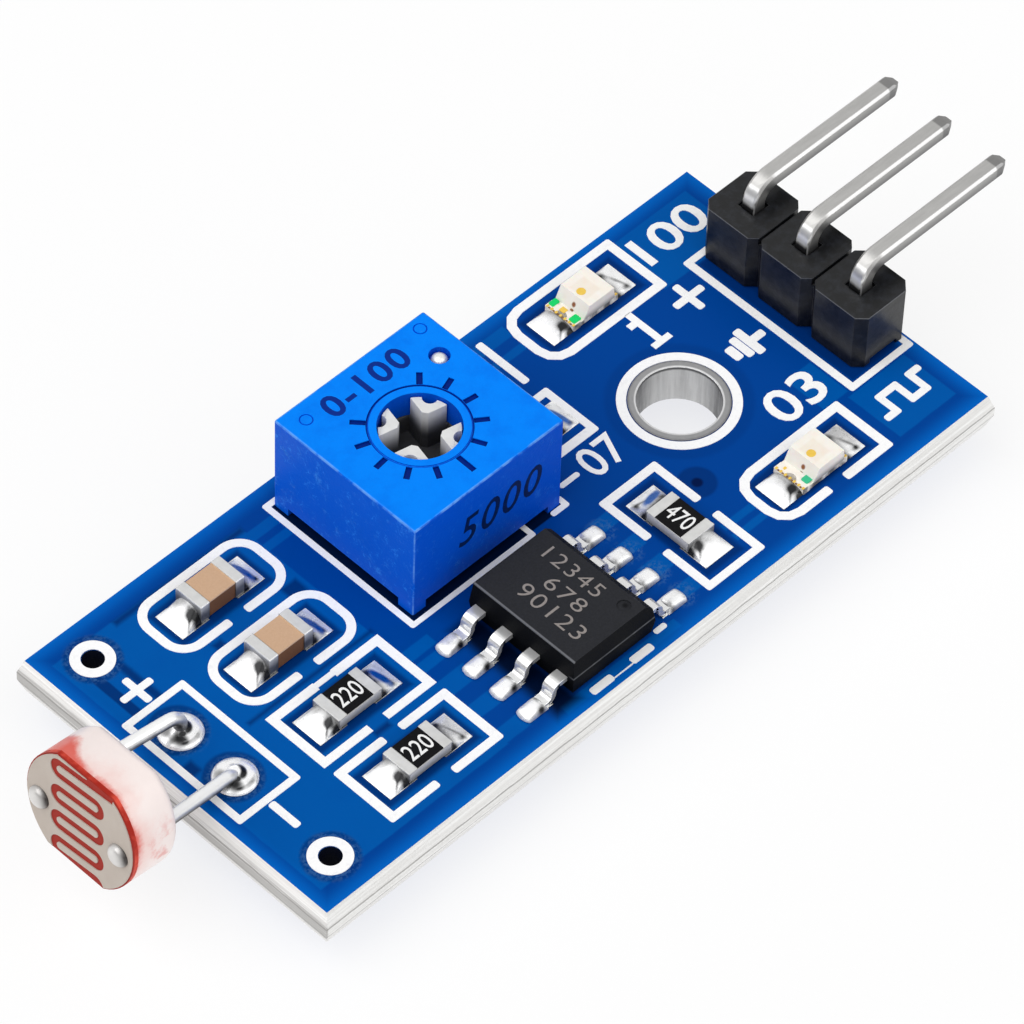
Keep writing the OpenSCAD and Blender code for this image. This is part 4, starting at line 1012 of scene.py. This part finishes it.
# Square wire: the level run reaches past the board, the upright one stands in the body
pinLook = {"step": 2.54, "first": 0.44, "stand": 6.6, "tip": 13.05, "level": 5.1, "foot": 4.19, "half": 0.32,
           "top": ((160, 159, 157), (190, 189, 187)), "side": ((96, 96, 97), (168, 167, 165)),
           "ridgeHighlight": (255, 255, 255), "bright": (246, 246, 245), "dark": (52, 52, 54),
           "bendX": 6.28, "bendZ": 4.78, "bendFrom": 4.6}
# The pins are painted light and shade: the level run is lighter on top and darker down its sides, with a
# painted highlight on its ridge and darker past the tip; the upright part is bright on its front, dark at its
# foot and in a band just above, painted reflections of the header body, with a painted highlight on its
# corner and a darker flank
pinPaint = Paint("headerPin", {"Metallic": 0.72})
x, y, z = pinPaint.axes()
step = pinLook["step"]
across = (y - pinLook["first"] + step * 3.5).maths("MODULO", step) - step / 2
above = z - pinLook["level"]
grain = pinPaint.noise(2.2, 5.0, (0.5, 3.0, 3.0), 0.65)
top = pinPaint.mix(grain, *pinLook["top"])
side = pinPaint.mix(above.rise(-0.34, 0.3), *pinLook["side"])
run = pinPaint.mix((above + across).rise(-0.02, 0.02), side, top)
ridgeHighlight = (above - across).rise(0.52, 0.56)
run = pinPaint.mix(ridgeHighlight, run, pinLook["ridgeHighlight"])
run = pinPaint.mix(x.rise(pinLook["tip"] - 0.02, pinLook["tip"] + 0.06) * 0.55, run, pinLook["dark"])
rise = z - pinLook["foot"] + (pinPaint.noise(2.0, 2.0) - 0.5) * 0.16
front = pinPaint.mix(rise.rise(0.1, 0.34), pinLook["dark"], pinLook["bright"])
front = pinPaint.mix((1 - (rise - 0.72).size().rise(0.04, 0.2)) * 0.5, front, pinLook["dark"])
lean = (z - pinLook["bendFrom"]).most(0.0) * 0.5
isFront = 1 - (x - pinLook["stand"] + pinLook["half"] - lean).rise(0.03, 0.09)
flank = pinPaint.mix(rise.rise(0.0, 0.6), *pinLook["side"])
post = pinPaint.mix(isFront, flank, front)
corner = (1 - (across + pinLook["half"]).size().rise(0.04, 0.08)) * isFront
post = pinPaint.mix(corner, post, pinLook["ridgeHighlight"])
isRun = (x - pinLook["bendX"] + (z - pinLook["bendZ"]) * 0.6).rise(0.5, 0.8)
pinPaint.colour(isRun, post, run)
pinPaint.set("Roughness", grain * 0.2 + 0.28)
pinPaint.bump(pinPaint.noise(4.0, 2.0), 0.003)
for k in (1, 2, 3):
    dress("header_pin_%d" % k, pinPaint)
    soften("header_pin_%d" % k, 0.022, 2, 28)
print("header dressed")

# Capacitors and resistors
chipLook = {"tan": ((194, 156, 124), (214, 180, 148)), "tanShade": (118, 82, 56), "tanHighlight": (236, 208, 180),
            "ceramic": ((112, 112, 112), (214, 213, 211)), "glaze": ((10, 10, 11), (26, 26, 28)),
            "code": ((234, 234, 232), (252, 252, 251)), "codes": ("220", "220", "470", "220"), "turned": 3,
            "tanTop": 2.45}
tanPaint = Paint("capacitorTan", {"Roughness": 0.5, "Specular IOR Level": 0.15})
z = tanPaint.axes()[2] - chipLook["tanTop"]
grainy = tanPaint.noise(16.0, 5.0, rough=0.7)
body = tanPaint.mix(grainy, *chipLook["tan"])
# The sides are painted darker than the top and a lighter line runs along the top edge: painted shade and
# painted highlight
body = tanPaint.mix(z.rise(-0.07, -0.04), chipLook["tanShade"], body)
rim = z.rise(-0.05, -0.03) - z.rise(-0.005, 0.005)
tanPaint.colour(rim * 0.7, body, chipLook["tanHighlight"])
tanPaint.bump(grainy, 0.006)
ceramicPaint = Paint("resistorCeramic", {"Roughness": 0.55})
# The ceramic is painted darker towards the bottom: painted shade
pale = ceramicPaint.axes()[2].rise(1.7, 2.08) * 0.7 + ceramicPaint.noise(7.0, 4.0) * 0.3
ceramicPaint.colour(pale, *chipLook["ceramic"])
ceramicPaint.bump(ceramicPaint.noise(14.0, 3.0), 0.008)
glazePaint = mottledPaint("resistorBlack", {"Roughness": 0.45, "Specular IOR Level": 0.05},
                          chipLook["glaze"], 12.0, 4.0)
glazePaint.bump(glazePaint.noise(9.0, 3.0), 0.006)
tallBand = bandPaintOf("capacitorBand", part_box("capacitor_1_bands")[1].z / toMetres)
lowBand = bandPaintOf("resistorBand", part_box("resistor_1_bands")[1].z / toMetres)
for k in (1, 2):
    dress("capacitor_%d_body" % k, tanPaint)
    dress("capacitor_%d_bands" % k, tallBand)
    soften("capacitor_%d_bands" % k, 0.09, 3)
for k in (1, 2, 3, 4):
    dress("resistor_%d_body" % k, ceramicPaint)
    dress("resistor_%d_cover" % k, glazePaint)
    dress("resistor_%d_bands" % k, lowBand)
    soften("resistor_%d_body" % k, 0.03)
    soften("resistor_%d_bands" % k, 0.04)

codePaint = mottledPaint("resistorCode", {"Roughness": 0.6}, chipLook["code"], 20.0)
form = bmesh.new()
for k, text in enumerate(chipLook["codes"], 1):
    node = "resistor_%d_cover" % k
    spot = middle(node)
    place = flatAt(spot.x, spot.y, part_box(node)[1].z / toMetres, -90 if k == chipLook["turned"] else 0)
    writing(form, text, 1.06, 0.68, 0.006, 0.006, place)
pieceOf("resistor_numbers", form, codePaint)


# Solder from each end band down to its pad: a chip's and a light's have the run from its middle and the
# width, and the plain ones don't mirror the board's colour
filletLook = {"sheenSide": Vector((-0.728, -0.686)), "chip": ((0.985, 1.88), 1.3),
              "light": ((1.065, 2.01), 1.36), "tall": {"capacitor": 0.64, "resistor": 0.43, "light": 0.22},
              "ends": [("capacitor", "capacitor_1_body", 0), ("capacitor", "capacitor_2_body", 0),
                       ("resistor", "resistor_1_body", 0), ("resistor", "resistor_2_body", 0),
                       ("resistor", "resistor_3_body", 90), ("resistor", "resistor_4_body", 0),
                       ("light", "power_light_base", 0), ("light", "output_light_base", 0)],
              "plain": ("resistor_2_body", "power_light_base", "output_light_base")}


def filletHeight(tall):
    def height(along, across):
        slope = tall * (1 - along) ** 1.9
        swell = 0.1 * math.sin(math.pi * min(1.0, along * 1.02)) ** 0.7
        edge = (1 - abs(across) ** 5) ** 0.8
        waist = 1 - 0.45 * (1 - along) ** 1.5 * across * across
        return max(0.0, (slope * waist + swell) * edge)
    return height


# Painted reflections and shade: fillets that face the sheen side are painted bright, with a painted dark
# reflection by the band and a dark crease to one corner; the others are painted with dark streaks
def filletShade(turn, seed):
    heading = math.radians(turn)
    sheenFacing = Vector((math.cos(heading), math.sin(heading))).dot(filletLook["sheenSide"]) > 0
    toward = 1 if math.cos(heading) < -0.5 or math.sin(heading) > 0.5 else -1

    def shade(along, across):
        side = across * toward
        wave = 0.05 * math.sin(9 * along + 5 * side + seed * 2.1)
        if sheenFacing:
            level = 1.04 + wave - 0.74 * math.exp(-(along / 0.34) ** 2) * (0.85 + 0.15 * side)
            level -= 1.25 * spotAt(along, side, (0.27, 0.5), (0.17, 0.25))
            level -= 0.7 * spotAt(along - 0.8 * (side - 0.5), side, (0.3, 0.8), (0.07, 0.3))
            level -= 0.8 * spotAt(along, side, (0.2, 1.0), (0.2, 0.12))
            level -= 0.55 * spotAt(along, side, (0.34, -0.95), (0.2, 0.1))
            level -= 0.3 * spotAt(along, side, (0.05, 0.9), (0.25, 0.14))
        else:
            level = 1.0 + wave - 0.95 * math.exp(-(along / 0.24) ** 2)
            level -= 0.8 * spotAt(along, side, (0.62, 0.8), (0.16, 0.14))
            level -= 0.75 * spotAt(along - 0.3 * side, side, (0.48, 0.3), (0.08, 0.55))
            level -= 0.6 * spotAt(along, side, (0.25, -0.5), (0.14, 0.3))
            level -= 0.7 * spotAt(along, side, (0.12, 1.0), (0.2, 0.16))
        return level
    return shade


# The board's colour mirrored in the streaked fillets
def boardGleam(along, across):
    if abs(across) >= 0.92:
        return 0.0
    return 1.3 * spotAt(along + across * 0.14, across, (0.46, -0.15), (0.24, 0.85))


form = bmesh.new()
for seed, (kind, node, turn) in enumerate(filletLook["ends"]):
    spot = middle(node)
    run, wide = filletLook["light" if kind == "light" else "chip"]
    for side in (0, 180):
        blue = boardGleam if side == 0 and node not in filletLook["plain"] else None
        height = filletHeight(filletLook["tall"][kind])
        place = flatAt(spot.x, spot.y, padTop, turn + side)
        poolShape(form, place, run, wide, height, filletShade(turn + side, seed), None, blue)
pieceOf("chip_fillets", form, poolPaint, stands=("chip_solder",))
print("chips dressed")

# Indicator lights: marks by x from, x to, y from, y to, measured from the middle of each base
lightLook = {
    "base": ((244, 236, 222), (253, 249, 242)), "sideShadow": (26, 26, 28),
    "milky": ((248, 236, 220), (255, 252, 246)), "dim": (112, 102, 92), "speck": (150, 96, 60),
    "frame": (232, 206, 176), "die": ((232, 186, 60), (246, 210, 92)),
    "green": ((0, 196, 92), (20, 222, 116)), "sea": (60, 190, 140), "brown": ((96, 62, 38), (168, 124, 74)),
    "middles": ((0.66, 5.38), (1.08, -5.15)), "reach": 1.08, "wide": 1.36, "teeth": 13, "dieRadius": 0.17,
}
lightMarks = {
    "power_light": {"green": [(-0.96, -0.6, 0.44, 0.68), (-0.98, -0.62, -0.62, -0.32)],
                    "gold": [(-0.9, -0.68, -0.02, 0.22)], "brown": [(-0.62, -0.52, -0.16, -0.04)],
                    "die": (-0.06, -0.02)},
    "output_light": {"green": [(-0.82, -0.48, -0.6, -0.3)], "gold": [(-0.9, -0.78, 0.36, 0.46)],
                     "brown": [(-0.56, -0.44, -0.16, -0.04)], "die": (-0.04, -0.02)},
}


# 1 on the long side of each light that faces the comparator's edge of the board
def longSide(paint, part):
    y = paint.axes()[1]
    power, output = [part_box(name + part)[0].y / toMetres for name in lightMarks]
    isPower = y.rise(0.0, 1.0) * (1 - y.rise(power + 0.01, power + 0.04))
    return isPower + (1 - y.rise(output + 0.01, output + 0.04))


# The long side of each base is painted with dark streaks: painted shadow under the lens
basePaint = Paint("lightBase", {"Roughness": 0.5, "Specular IOR Level": 0.2})
sideShadow = longSide(basePaint, "_base") * basePaint.noise(2.4, 4.0, (1.0, 1.0, 0.3)).rise(0.34, 0.6) * 0.85
pale = basePaint.mottle(*lightLook["base"], 8.0, 4.0)
basePaint.colour(sideShadow, pale, lightLook["sideShadow"])
lensPaint = Paint("lightLens", {"Roughness": 0.25, "Specular IOR Level": 0.3, "Subsurface Weight": 0.15,
                                "Subsurface Scale": 0.0004, "Coat Weight": 0.2, "Coat Roughness": 0.08})
x, y, z = lensPaint.axes()
milky = lensPaint.mottle(*lightLook["milky"], 3.0, 4.0)
for middleX, middleY in lightLook["middles"]:
    speck = discField(x * 2.0, y, (middleX * 2.0 - 0.94, middleY - 0.08, 0.08), 0.03)
    milky = lensPaint.mix(speck, milky, lightLook["speck"])
    chipFrame = boxField(x, y, (middleX - 0.2, middleX + 0.5, middleY - 0.4, middleY + 0.4), 0.06)
    milky = lensPaint.mix(chipFrame * 0.22, milky, lightLook["frame"])
# The lower part of each lens's long side is painted darker: painted shade
dim = longSide(lensPaint, "_lens") * (1 - z.rise(1.85, 2.2)) * 0.6
lensPaint.colour(dim, milky, lightLook["dim"])
diePaint = mottledPaint("lightDie", {"Roughness": 0.4}, lightLook["die"], 9.0)
greenPaint = Paint("polarityGreen", {"Roughness": 0.4, "Specular IOR Level": 0.2})
isPower = greenPaint.axes()[1].rise(-1.0, 1.0)
green = greenPaint.mottle(*lightLook["green"], 9.0)
greenPaint.colour(isPower, lightLook["sea"], green)
glossy = {"Roughness": 0.5, "Specular IOR Level": 0.2}
brownPaint = mottledPaint("boardBrown", glossy, lightLook["brown"], 10.0)

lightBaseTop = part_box("power_light_contacts")[1].z / toMetres
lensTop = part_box("power_light_lens")[1].z / toMetres
greens, dots, browns = bmesh.new(), bmesh.new(), bmesh.new()
reach, wide, teeth = (lightLook[key] for key in ("reach", "wide", "teeth"))
for name, marks in lightMarks.items():
    dress(name + "_base", basePaint)
    dress(name + "_lens", lensPaint)
    dress(name + "_die", diePaint)
    dress(name + "_contacts", basePaint)
    soften(name + "_lens", 0.05, 3)
    spot = middle(name + "_base")
    for form, key, sink, thick, corner in ((greens, "green", 0.005, 0.03, 0.05),
                                           (dots, "gold", 0.005, 0.02, 0.02),
                                           (browns, "brown", 0.004, 0.02, 0.02)):
        for x1, x2, y1, y2 in marks[key]:
            bar = (spot.x + x1, spot.x + x2, spot.y + y1, spot.y + y2)
            barShape(form, [bar], lightBaseTop - sink, thick, corner)
    for k in range(teeth):
        y1 = spot.y - wide / 2 + wide * k / teeth
        deep = 0.05 if k % 2 else 0.1
        for end in (-1, 1):
            x1, x2 = sorted((spot.x + end * (reach + 0.012), spot.x + end * (reach - deep)))
            bar = (x1, x2, y1, y1 + wide / teeth - 0.02)
            barShape(browns if k % 2 else dots, [bar], lightBaseTop - 0.004, 0.014, 0)
    made = bmesh.ops.create_circle(dots, cap_ends=True, radius=lightLook["dieRadius"], segments=24)["verts"]
    for v in made:
        v.co.x += spot.x + marks["die"][0]
        v.co.y += spot.y + marks["die"][1]
    thicken(dots, [made[0].link_faces[0]], lensTop - 0.004, 0.008, 0)
pieceOf("light_polarity_marks", greens, greenPaint)
pieceOf("light_brown_marks", browns, brownPaint)
pieceOf("light_dots", dots, diePaint)
print("lights dressed")

# Floor, dark cards that only reflections show, lamps and world
studioLook = {
    "floor": (0.22, 0.22, 0.22, 1.0), "floorGlow": 0.775, "floorSize": 3.0, "floorDrop": 0.00002,
    "fill": 0.38, "card": (0.01, 0.01, 0.01, 1.0),
    "cards": [((-0.02, -0.42, 0.1), (84, 0, 0), (0.5, 0.12)),
              ((-0.5, 0.1, 0.12), (84, 0, -90), (0.4, 0.12)),
              ((0.4, -0.12, 0.12), (84, 0, 80), (0.3, 0.14))],
    "suns": [("key", 1.55, 60, (-0.55, 0.18, 0.81)), ("front", 1.2, 75, (0.1, -0.8, 0.59))],
}


# A flat panel, wide along X and tall along Y
def panelOf(name, wide, tall, paint, lift=0.0):
    form = bmesh.new()
    bmesh.ops.create_grid(form, x_segments=1, y_segments=1, size=0.5)
    bmesh.ops.scale(form, vec=(wide, tall, 1), verts=form.verts)
    bmesh.ops.translate(form, vec=(0, 0, lift), verts=form.verts)
    mesh = bpy.data.meshes.new(name)
    form.to_mesh(mesh)
    form.free()
    mesh.materials.append(paint.material)
    panel = bpy.data.objects.new(name, mesh)
    bpy.context.scene.collection.objects.link(panel)
    return panel


matt = {"Roughness": 0.9, "Specular IOR Level": 0.0}
floorPaint = Paint("paleFloor", {"Base Color": studioLook["floor"], **matt, "Emission Color": (1, 1, 1, 1),
                                 "Emission Strength": studioLook["floorGlow"]})
size = studioLook["floorSize"]
panelOf("floor", size, size, floorPaint, startBounds[0].z - studioLook["floorDrop"])
cardPaint = Paint("darkCard", {"Base Color": studioLook["card"], **matt})
for place, turn, (wide, tall) in studioLook["cards"]:
    card = panelOf("card", wide, tall, cardPaint)
    card.location = place
    card.rotation_euler = Euler([math.radians(v) for v in turn])
    card.visible_camera = False
    card.visible_shadow = False

for name, energy, angle, toward in studioLook["suns"]:
    sun = bpy.data.objects.new(name, bpy.data.lights.new(name, "SUN"))
    sun.data.energy = energy
    sun.data.angle = math.radians(angle)
    sun.rotation_euler = Vector(toward).to_track_quat("Z", "Y").to_euler()
    bpy.context.scene.collection.objects.link(sun)
world = bpy.data.worlds.new("studio")
bpy.context.scene.world = world
world.use_nodes = True
tree = world.node_tree
background = tree.nodes["Background"]
rays = addNode(tree, "ShaderNodeLightPath", {}, {}).outputs
seen = joined([Wire(tree, rays[key]) for key in ("Is Camera Ray", "Is Glossy Ray", "Is Transmission Ray")])
plug(tree, background.inputs["Strength"], seen * (1 - studioLook["fill"]) + studioLook["fill"])
background.inputs["Color"].default_value = (1, 1, 1, 1)

# Camera, fitted to the photo
lensLook = {"azimuth": -46.766, "elevation": 50.511, "roll": 2.227, "far": 243.696, "lens": 253.88,
            "shift": (0.086, -0.482), "aim": (-8.0, 0.0, 1.6)}
azimuth, elevation, roll = (math.radians(lensLook[key]) for key in ("azimuth", "elevation", "roll"))
back = Vector((math.sin(azimuth) * math.cos(elevation), -math.cos(azimuth) * math.cos(elevation),
               math.sin(elevation)))
level = Vector((math.cos(azimuth), math.sin(azimuth), 0))
over = back.cross(level)
right = level * math.cos(roll) + over * math.sin(roll)
up = over * math.cos(roll) - level * math.sin(roll)
spot = Vector(lensLook["aim"]) + back * lensLook["far"]
spot -= right * lensLook["shift"][0] + up * lensLook["shift"][1]
camera = bpy.data.objects.new("camera", bpy.data.cameras.new("camera"))
camera.data.lens = lensLook["lens"]
camera.data.sensor_width = 36
camera.data.clip_start = 0.01
camera.data.clip_end = 10
turn = Matrix((right, up, back)).transposed().to_4x4()
camera.matrix_world = Matrix.Translation(spot * toMetres) @ turn
bpy.context.scene.collection.objects.link(camera)
bpy.context.scene.camera = camera
bpy.context.scene.view_settings.view_transform = "Standard"

print("scene ready")
